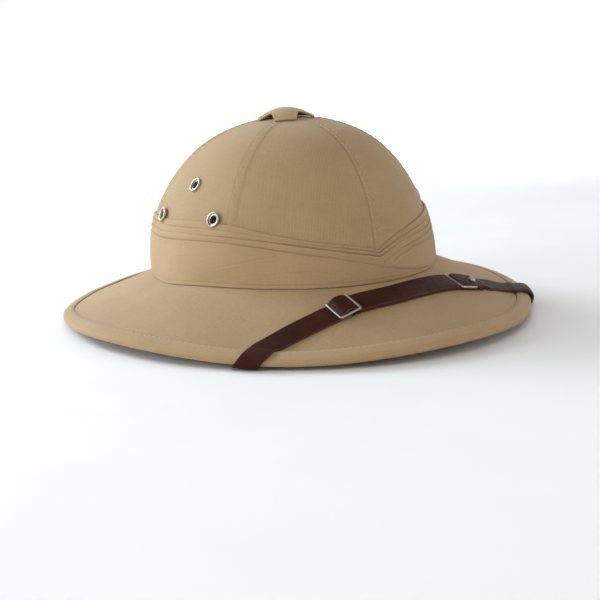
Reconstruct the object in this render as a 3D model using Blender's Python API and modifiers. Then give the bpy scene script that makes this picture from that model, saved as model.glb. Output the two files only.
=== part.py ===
"""A cloth covered pith helmet with a pleated pugaree and a leather chin strap worn over the brim.

Units are metres and +Z is up. The front of the hat faces -Y and the wearer's left is +X. The hat
stands on z = 0. Angles round the hat run in degrees from the front towards the wearer's left.
"""

import math

import bmesh
import bpy
from mathutils import Matrix, Vector

MM = 0.001

# Clearances
GAP = 0.3 * MM
WRAP_GAP = 0.65 * MM
STRAP_GAP = 0.4 * MM
STRAP_SLACK = 0.4 * MM

# Crown: half an egg on an oval foot, with six panels
CROWN_HALF_WIDTH = 89.4 * MM
CROWN_HALF_LENGTH = 104.3 * MM
CROWN_HEIGHT = 97.5 * MM
CROWN_WALL = 2.4 * MM
CROWN_LEAN = 5.8 * MM
CROWN_BACK = 1.8 * MM
CROWN_RISE_POWER = 1.97
CROWN_ROUND_POWER = 2.21
PANELS = 6
PANEL_FLATNESS = 0.016

# Foot line: where the crown meets the top of the brim
FOOT_HEIGHT = 30.4 * MM
FOOT_FRONT_RISE = 3.7 * MM
FOOT_SIDE_RISE = 1.4 * MM

# Brim
BRIM_HALF_WIDTH = 148.6 * MM
BRIM_HALF_LENGTH = 168.9 * MM
BRIM_OVAL_POWER = 1.925
BRIM_WALL = 2.6 * MM
BRIM_SAG = 0.10
RIM_END_RISE = 3.2 * MM
RIM_SIDE_RISE = 4.6 * MM

# Binding: the rolled strip on the brim's edge
BINDING_WIDTH = 8.9 * MM
BINDING_RISE = 6.1 * MM
BINDING_LIP = 2.6 * MM
BINDING_TUCK = 1.2 * MM

# Pugaree
BAND_HEIGHT = 38.0 * MM
BAND_THICKNESS = 1.5 * MM
BAND_FOLD = 1.3 * MM
BAND_VALLEY = 0.7 * MM
PLEAT_LEDGE = 0.25 * MM

# Heights of the pleats' upper edges as shares of BAND_HEIGHT, round the hat
PLEATS = (
    # angle, top edge, second, third, fourth
    (-180.0, 0.97, 0.88, 0.79, 0.68),
    (-105.0, 1.00, 0.91, 0.82, 0.70),
    (-67.0, 1.00, 0.90, 0.80, 0.69),
    (-45.0, 0.86, 0.79, 0.71, 0.60),
    (-27.0, 0.73, 0.66, 0.59, 0.49),
    (-13.0, 0.63, 0.56, 0.49, 0.38),
    (0.0, 0.52, 0.45, 0.38, 0.26),
    (10.0, 0.69, 0.57, 0.46, 0.35),
    (18.0, 0.78, 0.65, 0.52, 0.42),
    (30.0, 0.86, 0.72, 0.58, 0.47),
    (60.0, 0.98, 0.86, 0.74, 0.62),
    (105.0, 1.00, 0.91, 0.82, 0.70),
    (180.0, 0.97, 0.88, 0.79, 0.68),
)

# Ventilator cap
CAP_REACH = 19.0 * MM
CAP_RISE = 6.0 * MM
CAP_WALL = 1.6 * MM
CAP_TAB_WIDTH = 16.6 * MM
CAP_FOOT_WIDTH = 13.6 * MM
CAP_TURN = -30.0
CAP_PROFILE_POWER = 2.3

# Eyelets, three on each side
EYELET_RADIUS = 4.7 * MM
EYELET_HOLE_RADIUS = 2.8 * MM
EYELET_BARREL_WALL = 0.4 * MM
EYELET_DOME = 1.1 * MM
EYELET_SLACK = 0.8 * MM
EYELET_SIDE_ANGLE = 85.5
EYELETS = (
    # name, angle from the middle of the three, height over the foot, lift off the crown
    ("top", 0.0, 59.1 * MM, 0.5 * MM),
    ("front", -18.3, 39.4 * MM, 1.8 * MM),
    ("rear", 18.3, 39.4 * MM, 1.8 * MM),
)

# Chin strap
STRAP_WIDTH = 14.8 * MM
STRAP_THICKNESS = 1.8 * MM
STRAP_PINCH = 12.6 * MM
STRAP_TIP = 2.5 * MM

# The strap's middle line, from the wearer's right to the left. The place is 0 to 1 across the top of
# the brim from the foot line to the binding, 1 to 2 round the binding, and 2 to 3 back underneath.
STRAP_ROUTE = (
    # angle, place
    (-80.0, 2.85),
    (-72.6, 2.78),
    (-61.2, 2.575),
    (-52.3, 2.31),
    (-48.9, 2.15),
    (-45.3, 1.50),
    (-42.0, 1.00),
    (-39.5, 0.88),
    (-30.3, 0.59),
    (-17.3, 0.36),
    (-2.0, 0.285),
    (9.5, 0.26),
    (21.9, 0.30),
    (35.0, 0.48),
    (45.0, 0.71),
    (53.0, 1.00),
    (56.9, 1.50),
    (60.2, 2.10),
    (64.6, 2.33),
    (70.8, 2.575),
    (78.0, 2.735),
    (84.0, 2.81),
)

# Fittings, at distances along the strap from its front middle
BAR_RADIUS = 0.85 * MM
SLIDER_BAR_RADIUS = 0.6 * MM
FRAME_WIDTH = 17.0 * MM
FRAME_LENGTH = 14.4 * MM
SLIDER_PLACE = -40.0 * MM
KEEPER_PLACE = 57.2 * MM
TAIL_END_PLACE = 48.8 * MM
TIP_PLACE = 52.6 * MM
STUD_PLACE = 69.0 * MM
LINK_END_PLACE = 75.0 * MM
STUD_RADIUS = 2.4 * MM
STUD_HEIGHT = 1.7 * MM
ANCHOR_RADIUS = 4.0 * MM
ANCHOR_HEIGHT = 1.2 * MM
ANCHOR_INSET = 9.0 * MM
BEND_ROOM = 4.0 * MM
SKEW_ROOM = 10.0 * MM

# Fineness of the faceted solids
ROUND_STEPS = 72
CROWN_ROWS = 10
BRIM_ROWS = 4
EDGE_ROWS = 4
EYELET_STEPS = 12
CAP_ARM_ROWS = 5
CAP_MIDDLE_ROWS = 2
ROUTE_SAMPLES = 8
FITTING_STEP = 1.1 * MM
BEND_STEP = 1.8 * MM
STRAP_STEP = 5.5 * MM
STUD_FINE_LENGTH = 12.0 * MM
SKIN_PLACES = (0.0, 0.5, 1.0, 1.1, 1.2, 1.3, 1.4, 1.5, 1.6, 1.8, 2.0, 2.15, 2.6, 3.0)


def smooth(value):
    """An even ease from 0 to 1."""
    value = min(max(value, 0.0), 1.0)
    return value * value * (3.0 - 2.0 * value)


def row_between(table, angle):
    """A table's row at an angle, eased between its neighbours."""
    for before, after in zip(table, table[1:]):
        if angle <= after[0]:
            share = smooth((angle - before[0]) / (after[0] - before[0]))
            return [a + (b - a) * share for a, b in zip(before[1:], after[1:])]
    return list(table[-1][1:])


def wrap_angle(degrees):
    return (degrees + 180.0) % 360.0 - 180.0


# The hat's surfaces


def foot_height(degrees):
    """Height of the foot line at an angle."""
    angle = math.radians(degrees)
    return FOOT_HEIGHT + FOOT_FRONT_RISE * math.cos(angle) - FOOT_SIDE_RISE * math.cos(2.0 * angle)


def crown_radius_share(degrees, share):
    """How wide the crown is at a share of its height, with its panels flatter than its seams."""
    panel = 360.0 / PANELS
    across = abs((degrees % panel) / panel - 0.5) * 2.0
    flat = PANEL_FLATNESS * (1.0 - across * across) * min(1.6 * share, 1.0)
    return (1.0 - share**CROWN_RISE_POWER) ** (1.0 / CROWN_ROUND_POWER) * (1.0 - flat)


def crown_point(degrees, height, offset=0.0):
    """A point of the crown's outer face at a height over the foot line, or offset outwards from it."""
    angle = math.radians(degrees)
    share = min(max(height / CROWN_HEIGHT, 0.0), 1.0)
    radius = crown_radius_share(degrees, share)
    foot = FOOT_HEIGHT + (foot_height(degrees) - FOOT_HEIGHT) * (1.0 - share)
    centre = CROWN_BACK - CROWN_LEAN * share * share
    return Vector(
        (
            (radius * CROWN_HALF_WIDTH + offset) * math.sin(angle),
            centre - (radius * CROWN_HALF_LENGTH + offset) * math.cos(angle),
            foot + height,
        )
    )


def rim_height(degrees):
    """Height of the brim's lowest line: two low points a side, and room for the strap in front."""
    angle = math.radians(degrees)
    ends = math.sqrt(RIM_END_RISE)
    sides = math.sqrt(RIM_SIDE_RISE)
    wave = (ends * math.cos(angle) ** 2 - sides * math.sin(angle) ** 2) ** 2
    low_point = math.sqrt(sides / (ends + sides))
    strap_room = STRAP_THICKNESS + STRAP_GAP + STRAP_SLACK
    return wave + strap_room * (0.5 + 0.5 * math.cos(angle) / low_point)


def rim_point(degrees, inward, up):
    """A point near the brim's edge, a distance inwards from its outline and up from its lowest line."""
    angle = math.radians(degrees)
    across, along = math.sin(angle), math.cos(angle)
    power = BRIM_OVAL_POWER
    scale = (abs(across) ** power + abs(along) ** power) ** (-1.0 / power)
    arm = Vector((BRIM_HALF_WIDTH * across * scale, -BRIM_HALF_LENGTH * along * scale, 0.0))
    arm *= 1.0 - inward / arm.length
    return arm + Vector((0.0, 0.0, rim_height(degrees) + up))


def brim_point(degrees, share, drop=0.0):
    """A point of the brim's top from the foot line (0) to the binding's stitching (1)."""
    inner = crown_point(degrees, 0.0, GAP)
    outer = rim_point(degrees, BINDING_WIDTH, BINDING_RISE)
    point = inner.lerp(outer, share)
    point.z -= BRIM_SAG * share * (1.0 - share) * (inner.z - outer.z) + drop
    return point


def binding_point(degrees, turn):
    """A point of the binding's outside, from the stitching (0) round to its lowest line (1)."""
    if turn <= 0.5:
        roll = math.radians(180.0 * turn)
        inward = BINDING_WIDTH * (1.0 - math.sin(roll))
        up = BINDING_LIP + (BINDING_RISE - BINDING_LIP) * math.cos(roll)
    else:
        roll = math.radians(180.0 * (turn - 0.5))
        inward = BINDING_TUCK * (1.0 - math.cos(roll))
        up = BINDING_LIP * (1.0 - math.sin(roll))
    return rim_point(degrees, inward, up)


def underside_point(degrees, share):
    """A point under the hat, from the binding's lowest line (0) to below the foot line (1)."""
    turned_in = 0.15
    if share < turned_in:
        return binding_point(degrees, 1.0).lerp(brim_point(degrees, 1.0, BRIM_WALL), share / turned_in)
    return brim_point(degrees, 1.0 - (share - turned_in) / (1.0 - turned_in), BRIM_WALL)


def skin_point(degrees, place):
    """A point of the brim's skin: top (0 to 1), round the binding (1 to 2), underneath (2 to 3)."""
    if place <= 1.0:
        return brim_point(degrees, place)
    if place <= 2.0:
        return binding_point(degrees, place - 1.0)
    return underside_point(degrees, place - 2.0)


def skin_lengths(degrees):
    """Lengths of skin from the binding's stitching outwards to each of SKIN_PLACES."""
    points = [skin_point(degrees, place) for place in SKIN_PLACES]
    lengths = [0.0]
    for first, second in zip(points, points[1:]):
        lengths.append(lengths[-1] + (second - first).length)
    stitching = lengths[SKIN_PLACES.index(1.0)]
    return [length - stitching for length in lengths]


def value_between(value, inputs, outputs):
    """The output for a value in a rising row of inputs, on straight lines and past both ends."""
    last = len(inputs) - 2
    row = next((index for index in range(last) if value <= inputs[index + 1]), last)
    share = (value - inputs[row]) / (inputs[row + 1] - inputs[row])
    return outputs[row] + (outputs[row + 1] - outputs[row]) * share


def skin_out(degrees, place):
    """Length of skin from the binding's stitching to a place, less than nought towards the crown."""
    return value_between(place, SKIN_PLACES, skin_lengths(degrees))


def laid(degrees, out, lift):
    """A point lifted off the skin, given the length of skin from the binding's stitching."""
    place = value_between(out, skin_lengths(degrees), SKIN_PLACES)
    return skin_point(degrees, place) + lift * skin_normal(degrees, out)


def skin_normal(degrees, out):
    """The direction away from the brim's skin, taken over the same length on either side."""
    span = 1.5 * MM
    lengths = skin_lengths(degrees)
    place = value_between(out, lengths, SKIN_PLACES)
    ahead = value_between(out + span, lengths, SKIN_PLACES)
    behind = value_between(out - span, lengths, SKIN_PLACES)
    outward = skin_point(degrees, ahead) - skin_point(degrees, behind)
    round_hat = skin_point(degrees + 1.0, place) - skin_point(degrees - 1.0, place)
    return outward.cross(round_hat).normalized()


def degree_length(degrees, out):
    """Length round the hat of one degree, at a length of skin from the stitching."""
    return (laid(degrees + 0.5, out, 0.0) - laid(degrees - 0.5, out, 0.0)).length


# Making and finishing objects


def new_collection(name):
    collection = bpy.data.collections.new(name)
    bpy.context.scene.collection.children.link(collection)
    return collection


def clear_scene():
    for item in list(bpy.data.objects):
        bpy.data.objects.remove(item, do_unlink=True)


def principled(name, color, roughness, metallic=0.0):
    """A material of one colour (linear values), roughness and metallic value."""
    material = bpy.data.materials.new(name)
    material.use_nodes = True
    shader = material.node_tree.nodes["Principled BSDF"]
    shader.inputs["Base Color"].default_value = (*color, 1.0)
    shader.inputs["Roughness"].default_value = roughness
    shader.inputs["Metallic"].default_value = metallic
    return material


def add_object(name, mesh, collection, material=None):
    item = bpy.data.objects.new(name, mesh)
    collection.objects.link(item)
    if material:
        mesh.materials.append(material)
    return item


def mesh_from(builder, name):
    mesh = bpy.data.meshes.new(name)
    bmesh.ops.recalc_face_normals(builder, faces=builder.faces)
    builder.to_mesh(mesh)
    builder.free()
    return mesh


def soften(mesh, sharp_degrees=35.0):
    mesh.shade_smooth()
    mesh.set_sharp_from_angle(angle=math.radians(sharp_degrees))


def solidify(item, thickness, offset):
    wall = item.modifiers.new("wall", "SOLIDIFY")
    wall.thickness = thickness
    wall.offset = offset
    wall.use_even_offset = True
    return wall


def cut_with(item, cutters):
    """Cuts a collection of cutters out of an object."""
    cut = item.modifiers.new("holes", "BOOLEAN")
    cut.operation = "DIFFERENCE"
    cut.solver = "EXACT"
    cut.operand_type = "COLLECTION"
    cut.collection = cutters


def ring_solid(name, section, collection, material):
    """A solid ring round the hat. The section gives its points at an angle, from its outer face up,
    inwards and down, and takes the place of a torus's round section."""
    count = len(section(0.0))
    bpy.ops.mesh.primitive_torus_add(
        major_segments=ROUND_STEPS, minor_segments=count, major_radius=2.0, minor_radius=1.0
    )
    item = bpy.context.object
    item.name = name
    item.data.name = name
    for index in range(ROUND_STEPS):
        degrees = wrap_angle(360.0 * index / ROUND_STEPS + 90.0)
        for place, point in enumerate(section(degrees)):
            item.data.vertices[index * count + place].co = point
    for holder in list(item.users_collection):
        holder.objects.unlink(item)
    collection.objects.link(item)
    item.data.materials.append(material)
    soften(item.data)
    return item


# The hat's cloth pieces


def crown(collection, material, cutters):
    """The crown: the top half of a sphere drawn to the hat's shape, walled inwards, with its holes."""
    builder = bmesh.new()
    bmesh.ops.create_uvsphere(
        builder, u_segments=ROUND_STEPS, v_segments=2 * CROWN_ROWS, radius=1.0
    )
    lower = [v for v in builder.verts if v.co.z < -0.001]
    bmesh.ops.delete(builder, geom=lower, context="VERTS")
    for vertex in builder.verts:
        sine = min(max(vertex.co.z, 0.0), 1.0)
        degrees = math.degrees(math.atan2(vertex.co.x, -vertex.co.y))
        vertex.co = crown_point(degrees, CROWN_HEIGHT * sine ** (2.0 / CROWN_RISE_POWER))
    foot = [edge for edge in builder.edges if edge.is_boundary]
    skirt = bmesh.ops.extrude_edge_only(builder, edges=foot)["geom"]
    below = [v for v in skirt if isinstance(v, bmesh.types.BMVert)]
    bmesh.ops.translate(builder, verts=below, vec=(0.0, 0.0, -BRIM_WALL))
    mesh = mesh_from(builder, "crown")
    soften(mesh)
    item = add_object("crown", mesh, collection, material)
    solidify(item, CROWN_WALL, -1.0)
    cut_with(item, cutters)
    return item


def brim_section(degrees):
    rows = [index / BRIM_ROWS for index in range(BRIM_ROWS + 1)]
    edge = rim_point(degrees, BINDING_WIDTH + GAP, BINDING_RISE)
    reach = (edge.xy - brim_point(degrees, 0.0).xy).length
    full = (brim_point(degrees, 1.0).xy - brim_point(degrees, 0.0).xy).length
    shares = [row * reach / full for row in rows]
    top = [brim_point(degrees, share) for share in reversed(shares)]
    under = [brim_point(degrees, share, BRIM_WALL) for share in shares]
    return top + under


def binding_section(degrees):
    """Half way round the roll first, then up to the stitching, across and back under the lip."""
    upper = [binding_point(degrees, 0.5 * (1.0 - index / EDGE_ROWS)) for index in range(EDGE_ROWS + 1)]
    lower = [binding_point(degrees, 0.5 + 0.5 * index / 2) for index in (2, 1)]
    inside = rim_point(degrees, BINDING_WIDTH, BINDING_RISE - BRIM_WALL)
    return upper + [inside] + lower


def pugaree_section(degrees):
    """The band's outer face with a ledge at each pleat, then its inner face, from the foot up."""
    top, second, third, fourth = [BAND_HEIGHT * share for share in row_between(PLEATS, degrees)]
    foot = GAP
    belly = 0.45 * fourth
    outer = [
        crown_point(degrees, foot, WRAP_GAP + BAND_THICKNESS),
        crown_point(degrees, belly, WRAP_GAP + BAND_THICKNESS),
    ]
    for height in (fourth, third, second):
        outer.append(crown_point(degrees, height, WRAP_GAP + BAND_FOLD))
        outer.append(crown_point(degrees, height + PLEAT_LEDGE, WRAP_GAP + BAND_VALLEY))
    outer.append(crown_point(degrees, top, WRAP_GAP + BAND_FOLD * 0.75))
    heights = (top, 0.62 * top, 0.3 * top, foot)
    inner = [crown_point(degrees, height, WRAP_GAP) for height in heights]
    points = outer + inner
    points[0].z = max(points[0].z, points[-1].z)
    return points


def ventilator_cap(collection, material):
    """The cap: a cross of cloth with four arms that slope down to the crown."""
    steps, half = CAP_ARM_ROWS, CAP_MIDDLE_ROWS
    half_top, half_foot = 0.5 * CAP_TAB_WIDTH, 0.5 * CAP_FOOT_WIDTH
    builder = bmesh.new()
    bmesh.ops.create_grid(
        builder, x_segments=2 * (half + steps), y_segments=2 * (half + steps), size=half + steps
    )
    corners = [v for v in builder.verts if min(abs(v.co.x), abs(v.co.y)) > half + 0.01]
    bmesh.ops.delete(builder, geom=corners, context="VERTS")
    apex = crown_point(0.0, CROWN_HEIGHT)
    for vertex in builder.verts:
        along_x = abs(vertex.co.x) >= abs(vertex.co.y)
        run, side = (vertex.co.x, vertex.co.y) if along_x else (vertex.co.y, vertex.co.x)
        reach = max(abs(run) - half, 0.0) / steps
        width = half_top + (half_foot - half_top) * reach
        length = math.copysign(half_top * min(abs(run) / half, 1.0) + (CAP_REACH - half_top) * reach, run)
        side *= width / half
        x, y = (length, side) if along_x else (side, length)
        turned = Matrix.Rotation(math.radians(CAP_TURN), 2) @ Vector((x, y))
        share = min(math.hypot(length, 0.35 * side) / CAP_REACH, 1.0)
        vertex.co = (apex.x + turned.x, apex.y + turned.y, cap_height(turned, apex, share))
    mesh = mesh_from(builder, "ventilator_cap")
    soften(mesh)
    item = add_object("ventilator_cap", mesh, collection, material)
    solidify(item, CAP_WALL, 1.0)
    return item


def cap_height(place, apex, share):
    """Height of the cap's underside: arched in the middle, and on the crown at its feet."""
    low, high = 0.0, CROWN_HEIGHT
    degrees = math.degrees(math.atan2(place.x, -place.y))
    for _ in range(24):
        middle = 0.5 * (low + high)
        surface = crown_point(degrees, middle)
        if (surface.xy - apex.xy).length > place.length:
            low = middle
        else:
            high = middle
    rest = crown_point(degrees, low).z + GAP
    return rest + CAP_RISE * (1.0 - share**CAP_PROFILE_POWER)


# Eyelets


def crown_frame(degrees, height):
    """A matrix on the crown's outer face whose z axis points away from it."""
    here = crown_point(degrees, height)
    round_hat = crown_point(degrees + 1.0, height) - crown_point(degrees - 1.0, height)
    upward = crown_point(degrees, height + MM) - crown_point(degrees, height - MM)
    out = round_hat.cross(upward).normalized()
    across = upward.cross(out).normalized()
    up = out.cross(across)
    frame = Matrix((across, up, out)).transposed().to_4x4()
    frame.translation = here
    return frame


def eyelet_profile(lift):
    """Half the eyelet's section: a domed ring outside, a barrel, and a turned ring inside."""
    ring = EYELET_RADIUS
    hole = EYELET_HOLE_RADIUS
    barrel = hole + EYELET_BARREL_WALL
    middle = 0.5 * (ring + hole)
    inside = -CROWN_WALL - EYELET_SLACK
    back = 0.5 * (ring + barrel)
    return (
        (middle, lift + EYELET_DOME),
        (ring - 0.3 * MM, lift + EYELET_DOME * 0.6),
        (ring, lift),
        (barrel, lift),
        (barrel, inside),
        (back, inside),
        (back, inside - 0.5 * MM),
        (hole, inside - 0.5 * MM),
        (hole, lift + EYELET_DOME * 0.35),
    )


def eyelet(name, frame, lift, collection, material):
    """A turned metal eyelet through the crown's wall."""
    builder = bmesh.new()
    points = [builder.verts.new((x, 0.0, z)) for x, z in eyelet_profile(lift)]
    for first, second in zip(points, points[1:] + points[:1]):
        builder.edges.new((first, second))
    mesh = bpy.data.meshes.new(name)
    builder.to_mesh(mesh)
    builder.free()
    item = add_object(name, mesh, collection, material)
    turn = item.modifiers.new("turn", "SCREW")
    turn.steps = EYELET_STEPS
    turn.render_steps = EYELET_STEPS
    turn.use_merge_vertices = True
    turn.merge_threshold = 0.00001
    turn.use_smooth_shade = True
    item.matrix_world = frame
    return item


def eyelet_cutter(name, frame, collection):
    depth = 5.0 * CROWN_WALL
    builder = bmesh.new()
    radius = EYELET_HOLE_RADIUS + EYELET_BARREL_WALL + GAP
    bmesh.ops.create_cone(
        builder, cap_ends=True, segments=EYELET_STEPS, radius1=radius, radius2=radius, depth=depth
    )
    mesh = mesh_from(builder, name)
    item = add_object(name, mesh, collection)
    item.matrix_world = frame
    item.hide_render = True
    item.display_type = "WIRE"
    return item


def eyelet_places():
    """Name, frame and lift of each of the six eyelets."""
    for side, sign in (("right", -1.0), ("left", 1.0)):
        for name, turn, height, lift in EYELETS:
            degrees = sign * (EYELET_SIDE_ANGLE + turn)
            yield f"eyelet_{side}_{name}", crown_frame(degrees, height), lift


# The strap's route


def flat_length(first, second):
    """Length between two rows of angle and skin length, as on flattened skin."""
    middle = [0.5 * (a + b) for a, b in zip(first, second)]
    turn = (second[0] - first[0]) * degree_length(*middle)
    return math.hypot(turn, second[1] - first[1])


def route_rows():
    """The route's rows as angle and skin length from the stitching."""
    return [(degrees, skin_out(degrees, place)) for degrees, place in STRAP_ROUTE]


def route_samples():
    """Points of a smooth curve through the route's rows."""
    rows = route_rows()
    gaps = [flat_length(first, second) for first, second in zip(rows, rows[1:])]
    slopes = [[(b - a) / gap for a, b in zip(*pair)] for pair, gap in zip(zip(rows, rows[1:]), gaps)]
    bends = [slopes[0]]
    for index in range(1, len(slopes)):
        before, after = gaps[index - 1], gaps[index]
        weighed = zip(slopes[index - 1], slopes[index])
        bends.append([(a * after + b * before) / (before + after) for a, b in weighed])
    bends.append(slopes[-1])
    samples = []
    for index, gap in enumerate(gaps):
        for step in range(ROUTE_SAMPLES):
            share = step / ROUTE_SAMPLES
            ease = smooth(share)
            go = share * (1.0 - share) ** 2 * gap
            come = share * share * (share - 1.0) * gap
            rises = zip(rows[index], rows[index + 1], bends[index], bends[index + 1])
            samples.append([a + (b - a) * ease + m * go + n * come for a, b, m, n in rises])
    samples.append(list(rows[-1]))
    return samples


class StrapRoute:
    """The strap's route by distance from the front middle."""

    def __init__(self):
        self.samples = route_samples()
        points = [laid(*sample, layer_lift(0)) for sample in self.samples]
        lengths = [0.0]
        for first, second in zip(points, points[1:]):
            lengths.append(lengths[-1] + (second - first).length)
        front = value_between(0.0, [sample[0] for sample in self.samples], lengths)
        self.distances = [length - front for length in lengths]
        self.start = self.distances[0]
        self.end = self.distances[-1]

    def at(self, distance):
        """Angle and skin length at a distance."""
        columns = zip(*self.samples)
        return [value_between(distance, self.distances, column) for column in columns]

    def point(self, distance, lift):
        return laid(*self.at(distance), lift)

    def bend(self, distance, reach):
        """1 where the strap goes round the binding, easing to 0 over a reach on either side."""
        degrees, out = self.at(distance)
        roll = skin_out(degrees, 2.0)
        return smooth((out + BEND_ROOM + reach) / reach) * smooth((roll + BEND_ROOM + reach - out) / reach)

    def across_shift(self, distance):
        """Change of angle and skin length for each metre across the strap. Where the strap bends its
        cross lines run along the rim, so that it goes round without a twist."""
        degrees, out = self.at(distance)
        step = 2.0 * MM
        round_hat = laid(degrees + 0.5, out, 0.0) - laid(degrees - 0.5, out, 0.0)
        outward = (laid(degrees, out + step, 0.0) - laid(degrees, out - step, 0.0)) / (2.0 * step)
        before, after = self.at(distance - step), self.at(distance + step)
        along = round_hat * (after[0] - before[0]) + outward * (after[1] - before[1])
        across = outward.cross(round_hat).cross(along).normalized()
        rim = round_hat.normalized()
        bend = self.bend(distance, SKEW_ROOM)
        if bend > 0.0:
            across = across.lerp(rim / rim.dot(across), bend)
        skew = round_hat.dot(outward)
        square = round_hat.length_squared * outward.length_squared - skew * skew
        turn, move = across.dot(round_hat), across.dot(outward)
        turn, move = (
            (turn * outward.length_squared - move * skew) / square,
            (move * round_hat.length_squared - turn * skew) / square,
        )
        return turn, move

    def laid_point(self, distance, side, lift):
        """A point a distance to the side of the strap's middle line, lifted off the brim's skin."""
        degrees, out = self.at(distance)
        turn, move = self.across_shift(distance)
        lift += STRAP_SLACK * self.bend(distance, BEND_ROOM)
        return laid(degrees + side * turn, out + side * move, lift)

    def axes(self, distance):
        """Directions along the strap, across it and away from the brim."""
        step = 1.5 * MM
        along = (self.point(distance + step, 0.0) - self.point(distance - step, 0.0)).normalized()
        away = skin_normal(*self.at(distance))
        across = away.cross(along).normalized()
        return along, across, along.cross(across)


def layer_lift(layers_below):
    """Height of a strap's middle over the brim, with other strap layers below it."""
    return STRAP_GAP + 0.5 * STRAP_THICKNESS + layers_below * (STRAP_THICKNESS + GAP)


def bar_lift(layers_below):
    """Height of a frame's bar over the brim, with strap layers below it."""
    return STRAP_GAP + layers_below * (STRAP_THICKNESS + GAP) + BAR_RADIUS


def lift_over_slider(distance):
    """The long strap lies on the brim, arches over the slider's bar, and lies on the link."""
    half = 0.5 * FRAME_LENGTH - 2.8 * BAR_RADIUS
    crest = 0.5 * (bar_lift(1) + bar_lift(2)) + SLIDER_BAR_RADIUS + GAP + 0.5 * STRAP_THICKNESS
    side = distance - SLIDER_PLACE
    level = layer_lift(0) if side < 0.0 else layer_lift(1)
    share = min(max(1.0 - abs(side) / half, 0.0), 1.0)
    return level + (crest - level) * math.sin(0.5 * math.pi * share)


def lift_over_keeper(distance):
    """The short strap lies over the keeper and the link's end, then comes down to the brim."""
    over = bar_lift(1) + BAR_RADIUS + GAP + 0.5 * STRAP_THICKNESS
    frame_end = KEEPER_PLACE + 0.5 * FRAME_LENGTH
    on_link = layer_lift(1)
    down = over + (on_link - over) * smooth((distance - frame_end) / (8.0 * MM))
    return down + (layer_lift(0) - on_link) * smooth((distance - LINK_END_PLACE - 0.5 * MM) / (7.0 * MM))


def flat_lift(distance):
    return layer_lift(0)


def pinched_width(distance):
    """The strap's width, drawn in where it goes up through the slider."""
    opening = 0.5 * FRAME_LENGTH - 2.2 * BAR_RADIUS
    share = smooth((abs(distance - SLIDER_PLACE) - opening) / (4.0 * MM))
    return STRAP_PINCH + (STRAP_WIDTH - STRAP_PINCH) * share


def full_width(distance):
    return STRAP_WIDTH


def strap_stops(route, start, end, fine):
    """Distances of the strap's cross lines: close together where it bends."""
    stops = [start]
    while stops[-1] < end - 0.5 * FITTING_STEP:
        near = any(abs(stops[-1] - spot) < reach for spot, reach in fine)
        if near:
            step = FITTING_STEP
        elif route.bend(stops[-1], BEND_ROOM) > 0.0:
            step = BEND_STEP
        else:
            step = STRAP_STEP
        stops.append(min(stops[-1] + step, end))
    stops[-1] = end
    return stops


def strap(name, route, start, end, lift, width, rounded, fine, collection, material):
    """A strap along the route: a strip of cross lines, given its thickness on both sides."""
    stops = strap_stops(route, start, end, fine)
    builder = bmesh.new()
    bmesh.ops.create_grid(builder, x_segments=len(stops) - 1, y_segments=2, size=1.0)
    columns = sorted(builder.verts, key=lambda v: (round(v.co.x, 5), v.co.y))
    for index, distance in enumerate(stops):
        for side in (-1, 0, 1):
            spot = distance
            if index == 0 and side and "start" in rounded:
                spot += STRAP_TIP
            if index == len(stops) - 1 and side and "end" in rounded:
                spot -= STRAP_TIP
            half = 0.5 * width(spot)
            columns[index * 3 + side + 1].co = route.laid_point(spot, side * half, lift(spot))
    mesh = mesh_from(builder, name)
    soften(mesh)
    item = add_object(name, mesh, collection, material)
    solidify(item, STRAP_THICKNESS, 0.0)
    return item


# The strap's metal fittings


def frame_corners(route, place, lifts):
    """The middle line of a frame round the strap, with its four corners cut off."""
    half_length = 0.5 * FRAME_LENGTH - BAR_RADIUS
    half_width = 0.5 * FRAME_WIDTH - BAR_RADIUS
    cut = 1.2 * BAR_RADIUS
    along, across, away = route.axes(place)
    middle = route.point(place, 0.0)
    points = []
    for end, side in ((-1, -1), (-1, 1), (1, 1), (1, -1)):
        lift = lifts[0] if end < 0 else lifts[1]
        corner = middle + along * half_length * end + across * half_width * side + away * lift
        inward_along = corner - along * cut * end
        inward_across = corner - across * cut * side
        points += [inward_across, inward_along] if end * side < 0 else [inward_along, inward_across]
    return points


def wire_frame(name, points, collection, material):
    """A closed wire through points, made a mesh."""
    curve = bpy.data.curves.new(name, "CURVE")
    curve.dimensions = "3D"
    curve.bevel_depth = BAR_RADIUS
    curve.bevel_resolution = 2
    spline = curve.splines.new("POLY")
    spline.points.add(len(points) - 1)
    for spot, point in zip(spline.points, points):
        spot.co = (*point, 1.0)
    spline.use_cyclic_u = True
    wire = bpy.data.objects.new(name + "_wire", curve)
    collection.objects.link(wire)
    depsgraph = bpy.context.evaluated_depsgraph_get()
    mesh = bpy.data.meshes.new_from_object(wire.evaluated_get(depsgraph))
    mesh.name = name
    builder = bmesh.new()
    builder.from_mesh(mesh)
    bmesh.ops.remove_doubles(builder, verts=builder.verts, dist=0.00001)
    bmesh.ops.recalc_face_normals(builder, faces=builder.faces)
    builder.to_mesh(mesh)
    builder.free()
    bpy.data.objects.remove(wire)
    mesh.materials.clear()
    soften(mesh)
    return add_object(name, mesh, collection, material)


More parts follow.
